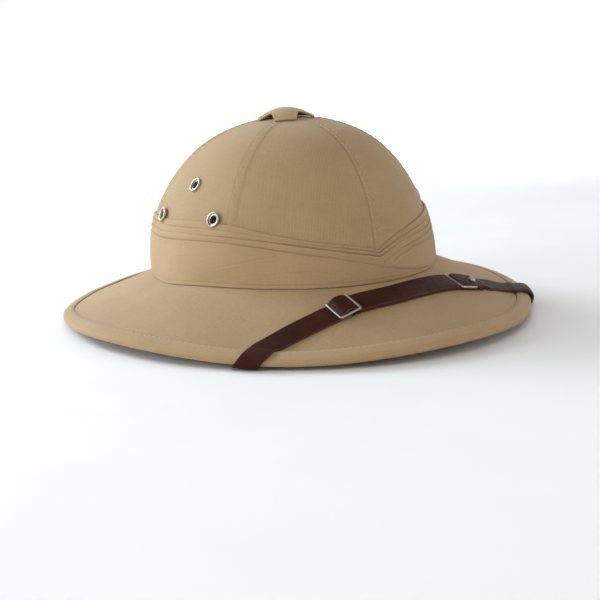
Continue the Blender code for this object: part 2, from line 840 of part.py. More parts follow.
def slider_buckle(route, collection, cutters, material):
    """The slider: a frame with the bar that the strap arches over."""
    lifts = (bar_lift(1), bar_lift(2))
    points = frame_corners(route, SLIDER_PLACE, lifts)
    item = wire_frame("slider_buckle", points, collection, material)
    along, across, away = route.axes(SLIDER_PLACE)
    middle = route.point(SLIDER_PLACE, 0.5 * (lifts[0] + lifts[1]))
    builder = bmesh.new()
    bmesh.ops.create_cone(
        builder,
        cap_ends=True,
        segments=8,
        radius1=SLIDER_BAR_RADIUS,
        radius2=SLIDER_BAR_RADIUS,
        depth=FRAME_WIDTH - 2.0 * BAR_RADIUS,
    )
    bar = add_object("slider_bar", mesh_from(builder, "slider_bar"), cutters)
    frame = Matrix((along, away, across)).transposed().to_4x4()
    frame.translation = middle
    bar.matrix_world = frame
    bar.hide_render = True
    bar.display_type = "WIRE"
    join = item.modifiers.new("bar", "BOOLEAN")
    join.operation = "UNION"
    join.solver = "EXACT"
    join.object = bar
    return item


def turned_on_strap(name, profile, frame, collection, material):
    """A small turned piece: a profile from its top's middle down, closed on its axis."""
    builder = bmesh.new()
    points = [builder.verts.new((x, 0.0, z)) for x, z in profile]
    for first, second in zip(points, points[1:]):
        builder.edges.new((first, second))
    mesh = bpy.data.meshes.new(name)
    builder.to_mesh(mesh)
    builder.free()
    item = add_object(name, mesh, collection, material)
    turn = item.modifiers.new("turn", "SCREW")
    turn.steps = EYELET_STEPS
    turn.render_steps = EYELET_STEPS
    turn.use_merge_vertices = True
    turn.merge_threshold = 0.00001
    turn.use_smooth_shade = True
    item.matrix_world = frame
    return item


def strap_frame(route, distance, lift):
    """A matrix on a strap's outer face at a distance, with z away from it."""
    step = MM
    here = route.point(distance, lift(distance))
    ahead = route.point(distance + step, lift(distance + step))
    back = route.point(distance - step, lift(distance - step))
    along = (ahead - back).normalized()
    across = route.axes(distance)[1]
    away = along.cross(across).normalized()
    if away.dot(route.axes(distance)[2]) < 0.0:
        away.negate()
    frame = Matrix((along, away.cross(along), away)).transposed().to_4x4()
    frame.translation = here + away * (0.5 * STRAP_THICKNESS + 1.6 * GAP)
    return frame


def strap_stud(route, collection, material):
    """The domed stud on the short strap."""
    rows = 4
    dome = []
    for index in range(rows + 1):
        roll = 0.5 * math.pi * index / rows
        dome.append((STUD_RADIUS * math.sin(roll), STUD_HEIGHT * math.cos(roll)))
    frame = strap_frame(route, STUD_PLACE, lift_over_keeper)
    return turned_on_strap("strap_stud", dome + [(0.0, 0.0)], frame, collection, material)


def strap_anchor(name, route, distance, collection, material):
    """A plain rivet head that holds a strap's end under the brim."""
    chamfer = 0.4 * MM
    profile = (
        (0.0, ANCHOR_HEIGHT),
        (ANCHOR_RADIUS - chamfer, ANCHOR_HEIGHT),
        (ANCHOR_RADIUS, ANCHOR_HEIGHT - chamfer),
        (ANCHOR_RADIUS, 0.0),
        (0.0, 0.0),
    )
    frame = strap_frame(route, distance, flat_lift)
    return turned_on_strap(name, profile, frame, collection, material)


def build():
    clear_scene()
    helmet = new_collection("pith_helmet")
    cutters = new_collection("cutters")
    holes = bpy.data.collections.new("eyelet_holes")
    cutters.children.link(holes)

    cotton = principled("khaki_cotton", (0.479, 0.372, 0.226), 0.9)
    trim = principled("khaki_cotton_trim", (0.448, 0.342, 0.204), 0.9)
    leather = principled("brown_leather", (0.045, 0.019, 0.016), 0.5)
    nickel = principled("nickel", (0.62, 0.58, 0.53), 0.3, 1.0)

    for name, frame, lift in eyelet_places():
        eyelet(name, frame, lift, helmet, nickel)
        eyelet_cutter(name + "_hole", frame, holes)
    crown(helmet, cotton, holes)
    ring_solid("brim", brim_section, helmet, cotton)
    ring_solid("brim_binding", binding_section, helmet, trim)
    cut_with(ring_solid("pugaree", pugaree_section, helmet, trim), holes)
    ventilator_cap(helmet, trim)

    route = StrapRoute()
    bends = ((SLIDER_PLACE, FRAME_LENGTH),)
    strap(
        "strap_long", route, route.start, TAIL_END_PLACE, lift_over_slider, pinched_width,
        ("start",), bends, helmet, leather,
    )
    strap(
        "strap_link", route, SLIDER_PLACE + 2.0 * MM, LINK_END_PLACE, flat_lift, full_width,
        (), (), helmet, leather,
    )
    strap(
        "strap_short", route, TIP_PLACE, route.end, lift_over_keeper, full_width,
        ("start", "end"), ((STUD_PLACE, STUD_FINE_LENGTH),), helmet, leather,
    )
    slider_buckle(route, helmet, cutters, nickel)
    corners = frame_corners(route, KEEPER_PLACE, (bar_lift(1), bar_lift(1)))
    wire_frame("keeper_frame", corners, helmet, nickel)
    strap_stud(route, helmet, nickel)
    strap_anchor("strap_anchor_right", route, route.start + ANCHOR_INSET, helmet, nickel)
    strap_anchor("strap_anchor_left", route, route.end - ANCHOR_INSET, helmet, nickel)


build()
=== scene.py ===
"""The looks of a cloth covered pith helmet with a pleated pugaree and a leather chin strap.

Units are metres and +Z is up. The front of the hat faces -Y and the wearer's left is +X. Angles
round the hat run in degrees from the front towards the wearer's left. The named sizes and the
functions for the hat's surfaces repeat those of the solids' source, so that each piece lies where
its solid does.
"""

import math

import bmesh
import bpy
import numpy as np
from mathutils import Matrix, Vector, noise


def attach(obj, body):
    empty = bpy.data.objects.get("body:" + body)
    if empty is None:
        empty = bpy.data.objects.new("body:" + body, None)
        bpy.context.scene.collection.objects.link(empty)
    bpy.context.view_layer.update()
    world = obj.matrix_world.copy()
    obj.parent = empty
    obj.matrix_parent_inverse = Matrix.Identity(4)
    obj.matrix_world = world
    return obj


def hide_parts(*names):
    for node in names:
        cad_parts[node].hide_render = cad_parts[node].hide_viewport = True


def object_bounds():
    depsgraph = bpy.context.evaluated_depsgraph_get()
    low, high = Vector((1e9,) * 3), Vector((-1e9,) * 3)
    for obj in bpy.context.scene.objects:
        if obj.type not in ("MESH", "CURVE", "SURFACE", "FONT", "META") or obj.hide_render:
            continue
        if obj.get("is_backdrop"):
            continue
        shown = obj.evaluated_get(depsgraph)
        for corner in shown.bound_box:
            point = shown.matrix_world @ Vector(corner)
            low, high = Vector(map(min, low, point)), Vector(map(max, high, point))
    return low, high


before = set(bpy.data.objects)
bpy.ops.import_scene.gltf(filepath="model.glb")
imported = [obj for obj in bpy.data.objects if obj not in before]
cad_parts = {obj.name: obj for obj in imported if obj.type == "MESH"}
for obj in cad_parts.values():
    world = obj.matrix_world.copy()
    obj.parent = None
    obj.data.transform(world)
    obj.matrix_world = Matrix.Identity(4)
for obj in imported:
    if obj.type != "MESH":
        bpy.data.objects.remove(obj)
cad_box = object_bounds()

MM = 0.001

# Clearances
GAP = 0.3 * MM
STRAP_GAP = 0.3 * MM
STRAP_SLACK = (0.1 * MM, 1.2 * MM)
LAYER_GAP = 0.12 * MM

# Crown
CROWN_HALF_WIDTH = 89.4 * MM
CROWN_HALF_LENGTH = 104.3 * MM
CROWN_HEIGHT = 97.5 * MM
CROWN_WALL = 2.4 * MM
CROWN_LEAN = 5.8 * MM
CROWN_BACK = 1.8 * MM
CROWN_RISE_POWER = 1.97
CROWN_ROUND_POWER = 2.21
PANELS = 6
PANEL_DEGREES = 360.0 / PANELS
PANEL_FLATNESS = 0.016
PANEL_FLATNESS_RISE = 1.6
CROWN_TUCK = 3.2 * MM
CROWN_TUCK_HEIGHT = 40.0 * MM
CROWN_TUCK_START = 75.0
CROWN_TUCK_EASE = 35.0
CROWN_TOP_SINK = 1.3 * MM
CROWN_SINK_START = 0.8
CROWN_ROWS = 108
CROWN_TOP_SHARE = 0.9999
PANEL_STEPS = 48

# Distances in millimetres of the mesh's columns from a seam's line, on either side
SEAM_COLUMNS = (0.0, 0.3, 0.6, 1.0, 1.45, 1.95, 2.5, 3.1, 3.7, 4.2, 4.7, 5.3, 6.0, 7.0)
SEAM_STEPS = len(SEAM_COLUMNS) - 1

# Seams: lapped and sewn down with two rows
FRONT_SEAM_TOP = 1.0
FRONT_SEAM_FOOT = -2.4
REAR_RIGHT_SEAM = 4
REAR_SEAM_SHIFT = 6.0
WELT_WIDTH = 5.0 * MM
WELT_RISE = 0.3 * MM
LAP_EDGE = 0.35 * MM
LAP_PAST_WIDTH = 1.1 * MM
LAP_RUN_OUT = 1.5 * MM
SEAM_ROWS = (1.0 * MM, 4.3 * MM)
STITCH_SINK = 0.12 * MM
STITCH_SINK_REACH = 0.55 * MM
STITCH_BEAT = 0.35
PUCKER_RISE = 0.045 * MM
PUCKER_REACH = 2.2 * MM
SEAM_GROOVE = 0.14 * MM
SEAM_GROOVE_PLACE = -0.4 * MM
SEAM_GROOVE_REACH = 0.35 * MM
SEAM_SHADES = (
    # depth of painted shade, place beside the seam's line, reach
    (0.38, -0.3 * MM, 0.5 * MM),
    (0.12, 4.3 * MM, 0.6 * MM),
)
# Deeper painted shade along the rear seam on the wearer's right
REAR_SEAM_SHADE = (0.5, -0.3 * MM, 0.6 * MM)

ROWS_PER_STITCH = 3

# Where the seams start, below the pugaree's top edge, and end, as a share of the crown's height
SEAM_START_DEPTH = 5.0 * MM
SEAM_START_EASE = 4.0 * MM
SEAM_END = 0.985
SEAM_FADE = 0.01

# The cloth's own soft unevenness
CLOTH_SWELL = 0.22 * MM
SWELL_FADE = 0.02
SEED_STEP = (7.13, 3.71, 1.37)
CROWN_SWELL_SIZE = 34.0 * MM
BRIM_SWELL_SIZE = 45.0 * MM

# Foot line
FOOT_HEIGHT = 30.4 * MM
FOOT_FRONT_RISE = 3.7 * MM
FOOT_SIDE_RISE = 1.4 * MM
FOOT_DIP = 2.8 * MM
FOOT_DIP_PLACE = -94.0
FOOT_DIP_REACH = 17.0

# Brim
BRIM_HALF_WIDTH = 148.6 * MM
BRIM_HALF_LENGTH = 168.9 * MM
BRIM_OVAL_POWER = 1.925
BRIM_WALL = 2.6 * MM
BRIM_SAG = 0.10
BRIM_SIDE_SAG = 0.2
BRIM_SIDE_POWER = 4
RIM_END_RISE = 3.2 * MM
RIM_SIDE_RISE = 4.6 * MM
STRAP_ROOM = 2.6 * MM

# The rim's own unevenness: cosine and sine parts of one, two and more waves round the hat
RIM_UNEVEN_MEAN = 0.3 * MM
RIM_UNEVEN = (
    (0.35 * MM, 0.46 * MM),
    (-0.26 * MM, 0.16 * MM),
    (-0.60 * MM, 0.34 * MM),
    (-0.11 * MM, 0.21 * MM),
    (0.15 * MM, 0.11 * MM),
    (0.22 * MM, -0.09 * MM),
)
BRIM_STEPS = 288
BRIM_TOP_ROWS = 30
BRIM_UNDER_ROWS = 14

# Binding
BINDING_WIDTH = 8.9 * MM
BINDING_WIDENING = 1.3 * MM
BINDING_WIDE_TURN = 25.0
BINDING_NARROWING = 3.0 * MM
BINDING_NARROW_PLACE = -110.0
BINDING_NARROW_REACH = 20.0
BINDING_RISE = 6.1 * MM
BINDING_LIP = 2.6 * MM
BINDING_TUCK = 1.2 * MM
BINDING_PROUD = 0.7 * MM
BINDING_SWELL_START = 0.5
BINDING_SWELL_EASE = 0.4
BINDING_EDGE_DROP = 0.25
BINDING_EDGE_START = 0.95
BINDING_EDGE_EASE = 0.05
BINDING_STEPS = 432
BINDING_ROWS = 26
BINDING_STITCH_INSET = 1.3 * MM
BINDING_SINK = 0.2 * MM
BINDING_SINK_REACH = 0.55 * MM
# Painted shade along the binding's stitching and at the roll's inner edge
BINDING_STITCH_SHADE = 0.45
BINDING_SHADE_REACH = 0.5 * MM
BINDING_EDGE_SHADE = 0.35

# Pugaree
BAND_HEIGHT = 38.0 * MM
BAND_GAP = 0.15 * MM
BAND_PLAIN = 1.45 * MM
BAND_FOLD = 1.85 * MM
BAND_VALLEY = 0.9 * MM
BAND_STEPS = 480
BAND_PRESS_REACH = 7.5 * MM
BAND_PRESS = 0.55

# About the length of one degree round the band
BAND_DEGREE = 1.7 * MM

# How deep the painted shade in its folds is, which is less on the wearer's left
BAND_SHADE = 0.75
BAND_LEFT_SHADE_LOSS = 0.3
BAND_LEFT_EASE = 12.0

# Heights of the pleats' upper edges as shares of BAND_HEIGHT, round the hat
PLEATS = (
    # angle, top edge, second, third, fourth
    (-180.0, 0.97, 0.88, 0.79, 0.68),
    (-110.0, 1.01, 0.93, 0.82, 0.71),
    (-84.0, 1.03, 0.92, 0.83, 0.72),
    (-71.0, 1.02, 0.90, 0.80, 0.70),
    (-58.0, 0.98, 0.88, 0.78, 0.69),
    (-52.0, 0.93, 0.85, 0.76, 0.66),
    (-45.0, 0.86, 0.80, 0.74, 0.63),
    (-27.0, 0.73, 0.67, 0.62, 0.50),
    (-20.0, 0.68, 0.62, 0.57, 0.45),
    (-13.0, 0.63, 0.57, 0.51, 0.38),
    (-0.6, 0.52, 0.46, 0.40, 0.26),
    (3.0, 0.60, 0.53, 0.46, 0.34),
    (10.0, 0.71, 0.63, 0.56, 0.46),
    (18.0, 0.79, 0.70, 0.62, 0.52),
    (30.0, 0.86, 0.75, 0.65, 0.56),
    (60.0, 0.98, 0.86, 0.74, 0.63),
    (105.0, 1.00, 0.91, 0.82, 0.70),
    (180.0, 0.97, 0.88, 0.79, 0.68),
)

# Soft creases lower on the band, as pairs of angle and share of BAND_HEIGHT along each
CREASES = (
    # groove's depth, ridge's rise, the ridge's side (1 above, -1 below), line
    (0.30 * MM, 0.22 * MM, -1.0, (2.0, 0.20, 4.9, 0.275, 9.6, 0.373, 18.4, 0.443, 31.0, 0.467, 50.0, 0.48)),
    (0.34 * MM, 0.30 * MM, 1.0, (-3.0, 0.25, 0.4, 0.238, 9.4, 0.157, 20.8, 0.070, 36.0, 0.02)),
    (0.16 * MM, 0.20 * MM, -1.0, (-66.0, 0.28, -58.7, 0.347, -48.1, 0.458, -38.0, 0.53, -29.8, 0.50)),
    (0.10 * MM, 0.08 * MM, -1.0, (-50.0, 0.20, -30.0, 0.27, -8.0, 0.16)),
    (0.12 * MM, 0.10 * MM, -1.0, (96.0, 0.30, 118.0, 0.42, 140.0, 0.39)),
)
CREASE_REACH = 0.5 * MM
RIDGE_PLACE = 1.3 * MM
RIDGE_REACH = 1.2 * MM
# Depth of a crease's groove that gives it full painted shade
CREASE_SHADE_DEPTH = 0.4 * MM
CREASE_START_EASE = 5.0
CREASE_END_EASE = 9.0

# The band's hem: a fine groove, and a little fullness below it
BAND_HEM = 2.3 * MM
HEM_GROOVE = 0.16 * MM
HEM_GROOVE_REACH = 0.35 * MM
HEM_FULLNESS = 0.08 * MM

# Rows of the band from its foot up, then its inner face
BAND_FOOT = (
    # height over the foot line, height off the crown, painted shade
    (0.1 * MM, 0.75 * MM, 1.0),
    (0.0 * MM, 1.2 * MM, 1.0),
    (0.2 * MM, BAND_PLAIN, 0.6),
)
BAND_HEM_ROWS = (0.6 * MM, 1.2 * MM, 1.7 * MM, 2.1 * MM, 2.3 * MM, 2.5 * MM, 2.9 * MM, 3.4 * MM)
BAND_FACE_ROWS = 24
BAND_FACE_END = 0.86
BAND_FACE_SWELL = 0.1 * MM
PLEAT_EDGE = (
    # shares of the way down to the last row and up to the next edge, height, height off the crown, painted
    # shade
    (0.14, 0.0, -0.20 * MM, BAND_FOLD - 0.06 * MM, 0.0),
    (0.0, 0.0, -0.35 * MM, BAND_FOLD, 0.0),
    (0.0, 0.0, -0.08 * MM, BAND_FOLD - 0.16 * MM, 0.0),
    (0.0, 0.0, 0.10 * MM, BAND_FOLD - 0.50 * MM, 0.5),
    (0.0, 0.0, 0.12 * MM, BAND_VALLEY + 0.10 * MM, 0.9),
    (0.0, 0.0, 0.40 * MM, BAND_VALLEY, 0.7),
    (0.0, 0.25, 0.0, BAND_VALLEY + 0.30 * MM, 0.0),
    (0.0, 0.45, 0.0, BAND_VALLEY + 0.60 * MM, 0.0),
    (0.0, 0.70, 0.0, BAND_VALLEY + 0.85 * MM, 0.0),
)
PLEAT_BOTTOM = 0.40 * MM
BAND_TOP = (
    # height from the top edge, height off the crown, painted shade
    (-0.50 * MM, BAND_FOLD - 0.65 * MM, 0.0),
    (-0.15 * MM, BAND_FOLD - 0.95 * MM, 0.2),
    (0.0, 0.5 * MM, 0.6),
    (-0.10 * MM, BAND_GAP + 0.1 * MM, 0.8),
)
BAND_INNER_ROWS = (0.97, 0.85, 0.6, 0.3, 0.1, 0.02)

# Unevenness of the pleats: height and size of their waves along the band, and at the point in front
PLEAT_WAVE = 0.34 * MM
PLEAT_WAVE_SIZE = 30.0 * MM
POINT_WAVE = 0.5 * MM
POINT_WAVE_SIZE = 6.0 * MM
POINT_REACH = 7.0

# How firmly each pleat is pressed, and how much the four pleats' waves differ
FIRMNESS = 0.72
FIRMNESS_RANGE = 0.75
FIRMNESS_LIMITS = (0.35, 1.15)
FIRMNESS_SIZE = 48.0 * MM
PLEAT_SPREAD = 0.13

# Ventilator cap
CAP_REACHES = (16.8 * MM, 18.6 * MM, 19.0 * MM, 17.0 * MM)
CAP_PLACE = (-1.8 * MM, -2.5 * MM)
CAP_RISE = 5.1 * MM
CAP_WALL = 1.0 * MM
CAP_TAB_WIDTH = 16.6 * MM
CAP_FOOT_WIDTH = 13.6 * MM
CAP_TURN = -30.0
CAP_POWER = 1.9
CAP_ARM_ROWS = 28
CAP_MIDDLE_ROWS = 20
CAP_HEM = 2.0 * MM
CAP_HEM_RISE = 0.25 * MM
CAP_HEM_EDGE = 0.5 * MM
CAP_HEM_START = 0.15
CAP_EDGE_ROUND = 0.35 * MM
CAP_DROOP_BACK = 5.2 * MM
CAP_DROOP_SIDE = 5.5 * MM

# Eyelets
EYELET_RADIUS = 4.7 * MM
EYELET_HOLE_RADIUS = 2.8 * MM
EYELET_BARREL_WALL = 0.4 * MM
EYELET_DOME = 1.15 * MM
EYELET_STEP = 0.62 * MM
EYELET_NECK = 0.8
EYELET_SLACK = 0.8 * MM
EYELET_SIDE_ANGLE = 83.9
EYELETS = (
    # name, angle from the middle of the three, height over the foot, lift off the crown
    ("top", 0.5, 59.3 * MM, 0.25 * MM),
    ("front", -17.7, 39.5 * MM, 1.2 * MM),
    ("rear", 17.7, 40.0 * MM, 1.2 * MM),
)

# Chin strap
STRAP_WIDTH = 14.8 * MM
STRAP_THICKNESS = 1.5 * MM
STRAP_PINCH = 14.3 * MM
PINCH_EASE = 4.0 * MM
STRAP_TIP = 2.5 * MM
STRAP_PRESS = 0.7 * MM
SLIDER_PRESS = 0.2 * MM
CREST_POWER = 0.5
KEEPER_SLOPE_START = 6.0 * MM
KEEPER_SLOPE = 16.0 * MM
LINK_SLOPE_START = 0.5 * MM
LINK_SLOPE = 11.0 * MM
STRAP_CROWN = 0.12 * MM
STRAP_STEP = 1.0 * MM
STRAP_EDGE_ROUND = 0.4 * MM
TIP_ROUND = 0.96
STRAP_ACROSS = 12
STRAP_ROUTE = (
    # angle, place: 0 to 1 on top of the brim, 1 to 2 round the binding, 2 to 3 underneath
    (-80.0, 2.85),
    (-72.2, 2.79),
    (-61.0, 2.62),
    (-51.5, 2.36),
    (-47.0, 2.13),
    (-45.0, 1.78),
    (-43.6, 1.40),
    (-41.6, 1.00),
    (-39.2, 0.88),
    (-30.3, 0.59),
    (-17.3, 0.36),
    (-2.0, 0.285),
    (9.5, 0.26),
    (21.9, 0.30),
    (35.0, 0.48),
    (45.0, 0.71),
    (51.2, 1.00),
    (54.4, 1.50),
    (57.8, 2.10),
    (63.0, 2.33),
    (69.8, 2.575),
    (78.0, 2.735),
    (84.0, 2.81),
)
ROUTE_SAMPLES = 8
SKIN_PLACES = (0.0, 0.5, 1.0, 1.1, 1.2, 1.3, 1.4, 1.5, 1.6, 1.8, 2.0, 2.15, 2.6, 3.0)
BEND_ROOM = 4.0 * MM
SKEW_ROOM = 10.0 * MM
LEAST_FACING = 0.77
FACING_EASE = 6.0 * MM

# Fittings, at distances along the strap from its front middle
BAR_RADIUS = 0.74 * MM
SLIDER_BAR_RADIUS = 0.6 * MM
FRAME_WIDTH = 17.0 * MM
FRAME_LENGTH = 15.0 * MM
HALF_OPENING = 0.5 * FRAME_LENGTH - 2.2 * BAR_RADIUS
FRAME_CORNER = 1.0 * MM
SLIDER_PLACE = -38.7 * MM
KEEPER_PLACE = 55.7 * MM
TAIL_END_PLACE = 47.0 * MM
TIP_PLACE = 50.2 * MM
STUD_PLACE = 65.6 * MM
LINK_END_PLACE = 70.8 * MM
STUD_RADIUS = 2.4 * MM
STUD_HEIGHT = 1.7 * MM
ANCHOR_RADIUS = 4.0 * MM
ANCHOR_HEIGHT = 1.2 * MM
ANCHOR_INSET = 9.0 * MM
FITTING_SEAT = 0.15 * MM
FITTING_SINK = 0.1 * MM

# Sewing thread
THREAD_RADIUS = 0.17 * MM
STITCH_LENGTH = 2.9 * MM
STITCH_PITCH = 3.8 * MM
STITCH_TAPER = 0.35
STITCH_LIFT = WELT_RISE - 0.3 * STITCH_SINK + 0.5 * THREAD_RADIUS

# Cloths: colours of the yarns' tops and grooves, and yarn spacing in millimetres
DRILL = ("#B29570", "#997C56", 0.85)
POPLIN = ("#B39571", "#A0825B", 0.7)

# Camera: at the photograph's angle
CAMERA_TURN = -31.58
CAMERA_RISE = 12.42
CAMERA_ROLL = -2.52
CAMERA_DISTANCE = 0.8063
CAMERA_LENS = 72.57
CAMERA_SHIFT = (0.01258, 0.01308)

# Studio: a round paper floor whose edge curves up, and soft square lights
FLOOR_RADIUS = 2.6
COVE_RADIUS = 1.0
WALL_HEIGHT = 2.6
WORLD_LIGHT = 0.28
COOL = (0.8, 0.91, 1.0)
WARM = (1.0, 0.96, 0.9)
WHITE = (1.0, 1.0, 1.0)
HAT = (0.0, 0.07)
BACKDROP = (-3.3, 0.5)
LIGHTS = (
    # name, to the camera's right, up, towards the camera, size, watts, colour, aim: towards the camera, up
    ("key_softbox", -1.6, 0.9, -0.9, 1.0, 42.0, COOL, HAT),
    ("low_key_softbox", -1.9, 0.5, 0.7, 0.9, 18.0, COOL, HAT),
    ("back_softbox", 0.0, 1.4, -1.6, 1.2, 5.0, COOL, HAT),
    ("front_softbox", 0.0, 1.7, 1.2, 1.2, 8.1, WARM, HAT),
    ("fill_softbox", 1.9, 0.5, 0.5, 1.0, 6.3, WARM, HAT),
    ("backdrop_softbox", 0.0, 1.5, -1.3, 2.0, 36.0, WHITE, BACKDROP),
)


def smooth(value):
    """An even ease from 0 to 1."""
    value = np.clip(value, 0.0, 1.0)
    return value * value * (3.0 - 2.0 * value)


def hill(distance, reach):
    """1 on a line, falling softly towards 0 past a reach on either side."""
    return np.exp(-((distance / reach) ** 2))


def wrap_angle(degrees):
    """The same angles, between -180 and 180 degrees."""
    return (degrees + 180.0) % 360.0 - 180.0


def stacked(x, y, z):
    return np.stack(np.broadcast_arrays(x, y, z), axis=-1)


def length_of(vectors):
    return np.linalg.norm(vectors, axis=-1)


def unit(vectors):
    return vectors / length_of(vectors)[..., None]


def value_between(values, inputs, outputs):
    """The outputs for values in rising rows of inputs, on straight lines and past both ends."""
    values = np.asarray(values, float)
    shape = values.shape + (np.shape(inputs)[-1],)
    inputs, outputs = np.broadcast_to(inputs, shape), np.broadcast_to(outputs, shape)
    row = (values[..., None] > inputs[..., 1:-1]).sum(axis=-1)[..., None]
    low, start = [np.take_along_axis(column, row, -1)[..., 0] for column in (inputs, outputs)]
    high, end = [np.take_along_axis(column, row + 1, -1)[..., 0] for column in (inputs, outputs)]
    return start + (end - start) * (values - low) / (high - low)


def columns_at(places, lengths, table):
    """A table's columns at places along its rows, on straight lines between them."""
    return np.stack([np.interp(places, lengths, column) for column in table.T], axis=-1)


# The hat's surfaces


def foot_height(degrees):
    """Height of the foot line at an angle."""
    angle = np.radians(degrees)
    dip = FOOT_DIP * hill(wrap_angle(degrees) - FOOT_DIP_PLACE, FOOT_DIP_REACH)
    return FOOT_HEIGHT + FOOT_FRONT_RISE * np.cos(angle) - FOOT_SIDE_RISE * np.cos(2.0 * angle) - dip


def crown_radius_share(degrees, share):
    """How wide the crown is at a share of its height, with its panels flatter than its seams."""
    across = np.abs((degrees % PANEL_DEGREES) / PANEL_DEGREES - 0.5) * 2.0
    flat = PANEL_FLATNESS * (1.0 - across * across) * np.minimum(PANEL_FLATNESS_RISE * share, 1.0)
    return (1.0 - share**CROWN_RISE_POWER) ** (1.0 / CROWN_ROUND_POWER) * (1.0 - flat)


def crown_point(degrees, height, offset=0.0):
    """Points of the crown's outer face at heights over the foot line, or offset outwards from it."""
    angle = np.radians(degrees)
    share = np.clip(np.asarray(height) / CROWN_HEIGHT, 0.0, 1.0)
    radius = crown_radius_share(degrees, share)
    foot = FOOT_HEIGHT + (foot_height(degrees) - FOOT_HEIGHT) * (1.0 - share)
    centre = CROWN_BACK - CROWN_LEAN * share * share
    behind = smooth((np.abs(wrap_angle(degrees)) - CROWN_TUCK_START) / CROWN_TUCK_EASE)
    offset = offset - CROWN_TUCK * behind * np.clip(1.0 - np.asarray(height) / CROWN_TUCK_HEIGHT, 0.0, 1.0)
    sink = CROWN_TOP_SINK * smooth((share - CROWN_SINK_START) / (1.0 - CROWN_SINK_START))
    return stacked(
        (radius * CROWN_HALF_WIDTH + offset) * np.sin(angle),
        centre - (radius * CROWN_HALF_LENGTH + offset) * np.cos(angle),
        foot + height - sink,
    )


def crown_normal(degrees, height):
    """Directions away from the crown's outer face."""
    round_hat = crown_point(degrees + 0.5, height) - crown_point(degrees - 0.5, height)
    low = np.maximum(np.asarray(height) - 0.5 * MM, 0.0)
    high = np.minimum(np.asarray(height) + 0.5 * MM, CROWN_HEIGHT - 0.2 * MM)
    upward = crown_point(degrees, high) - crown_point(degrees, low)
    return unit(np.cross(round_hat, upward))


def rim_height(degrees):
    """Height of the brim's lowest line: two low points a side, and room for the strap in front."""
    angle = np.radians(degrees)
    ends, sides = math.sqrt(RIM_END_RISE), math.sqrt(RIM_SIDE_RISE)
    wave = (ends * np.cos(angle) ** 2 - sides * np.sin(angle) ** 2) ** 2
    low_point = math.sqrt(sides / (ends + sides))
    uneven_part = RIM_UNEVEN_MEAN
    for count, (even, odd) in enumerate(RIM_UNEVEN, 1):
        uneven_part = uneven_part + even * np.cos(count * angle) + odd * np.sin(count * angle)
    return np.maximum(wave + STRAP_ROOM * (0.5 + 0.5 * np.cos(angle) / low_point) + uneven_part, 0.0)


def binding_width(degrees):
    """Width of the binding's strip: sewn wider on the wearer's right, but narrower at its side."""
    wide = BINDING_WIDENING * 0.5 * (1.0 - np.sin(np.radians(degrees + BINDING_WIDE_TURN)))
    narrow = BINDING_NARROWING * hill(wrap_angle(degrees) - BINDING_NARROW_PLACE, BINDING_NARROW_REACH)
    return BINDING_WIDTH + wide - narrow


def rim_point(degrees, inward, up):
    """Points near the brim's edge, a distance inwards from its outline and up from its lowest line."""
    angle = np.radians(degrees)
    across, along = np.sin(angle), np.cos(angle)
    power = BRIM_OVAL_POWER
    scale = (np.abs(across) ** power + np.abs(along) ** power) ** (-1.0 / power)
    x, y = BRIM_HALF_WIDTH * across * scale, -BRIM_HALF_LENGTH * along * scale
    share = 1.0 - inward / np.hypot(x, y)
    return stacked(x * share, y * share, rim_height(degrees) + up)


def brim_point(degrees, share, drop=0.0):
    """Points of the brim's top from the foot line (0) to the binding's stitching (1). It sags a little,
    and most at the wearer's right."""
    inner = crown_point(degrees, 0.0, GAP)
    outer = rim_point(degrees, binding_width(degrees), BINDING_RISE)
    share = np.asarray(share, float)
    points = inner + (outer - inner) * share[..., None]
    deep = BRIM_SAG + BRIM_SIDE_SAG * np.clip(-np.sin(np.radians(degrees)), 0.0, 1.0) ** BRIM_SIDE_POWER
    sag = deep * share * (1.0 - share) * (inner - outer)[..., 2] + drop
    return points - stacked(0.0, 0.0, sag)


def binding_point(degrees, turn, proud=0.0):
    """Points of the binding's outside, from the stitching (0) round to its lowest line (1)."""
    turn = np.asarray(turn, float)
    roll = np.radians(180.0 * turn)
    low = np.radians(180.0 * (turn - 0.5))
    width = binding_width(degrees)
    inward = np.where(turn <= 0.5, width * (1.0 - np.sin(roll)), BINDING_TUCK * (1.0 - np.cos(low)))
    rise = BINDING_RISE - BINDING_LIP + proud
    up = np.where(turn <= 0.5, BINDING_LIP + rise * np.cos(roll), BINDING_LIP * (1.0 - np.sin(low)))
    return rim_point(degrees, inward, up)


def underside_point(degrees, share):
    """Points under the hat, from the binding's lowest line (0) to below the foot line (1)."""
    turned_in = 0.15
    share = np.asarray(share, float)
    start, edge = binding_point(degrees, 1.0), brim_point(degrees, 1.0, BRIM_WALL)
    near = start + (edge - start) * (share / turned_in)[..., None]
    far = brim_point(degrees, 1.0 - (share - turned_in) / (1.0 - turned_in), BRIM_WALL)
    return np.where((share < turned_in)[..., None], near, far)


def skin_point(degrees, place):
    """Points of the brim's skin: top (0 to 1), round the binding (1 to 2), underneath (2 to 3)."""
    place = np.asarray(place, float)
    edge = binding_point(degrees, np.clip(place - 1.0, 0.0, 1.0))
    outer = np.where((place <= 2.0)[..., None], edge, underside_point(degrees, place - 2.0))
    return np.where((place <= 1.0)[..., None], brim_point(degrees, place), outer)


def skin_lengths(degrees):
    """Lengths of skin from the binding's stitching outwards to each of SKIN_PLACES."""
    degrees = np.asarray(degrees, float)
    places = np.broadcast_to(SKIN_PLACES, degrees.shape + (len(SKIN_PLACES),))
    points = skin_point(degrees[..., None], places)
    steps = length_of(np.diff(points, axis=-2))
    lengths = np.concatenate([np.zeros(degrees.shape + (1,)), np.cumsum(steps, axis=-1)], axis=-1)
    return lengths - lengths[..., [SKIN_PLACES.index(1.0)]]


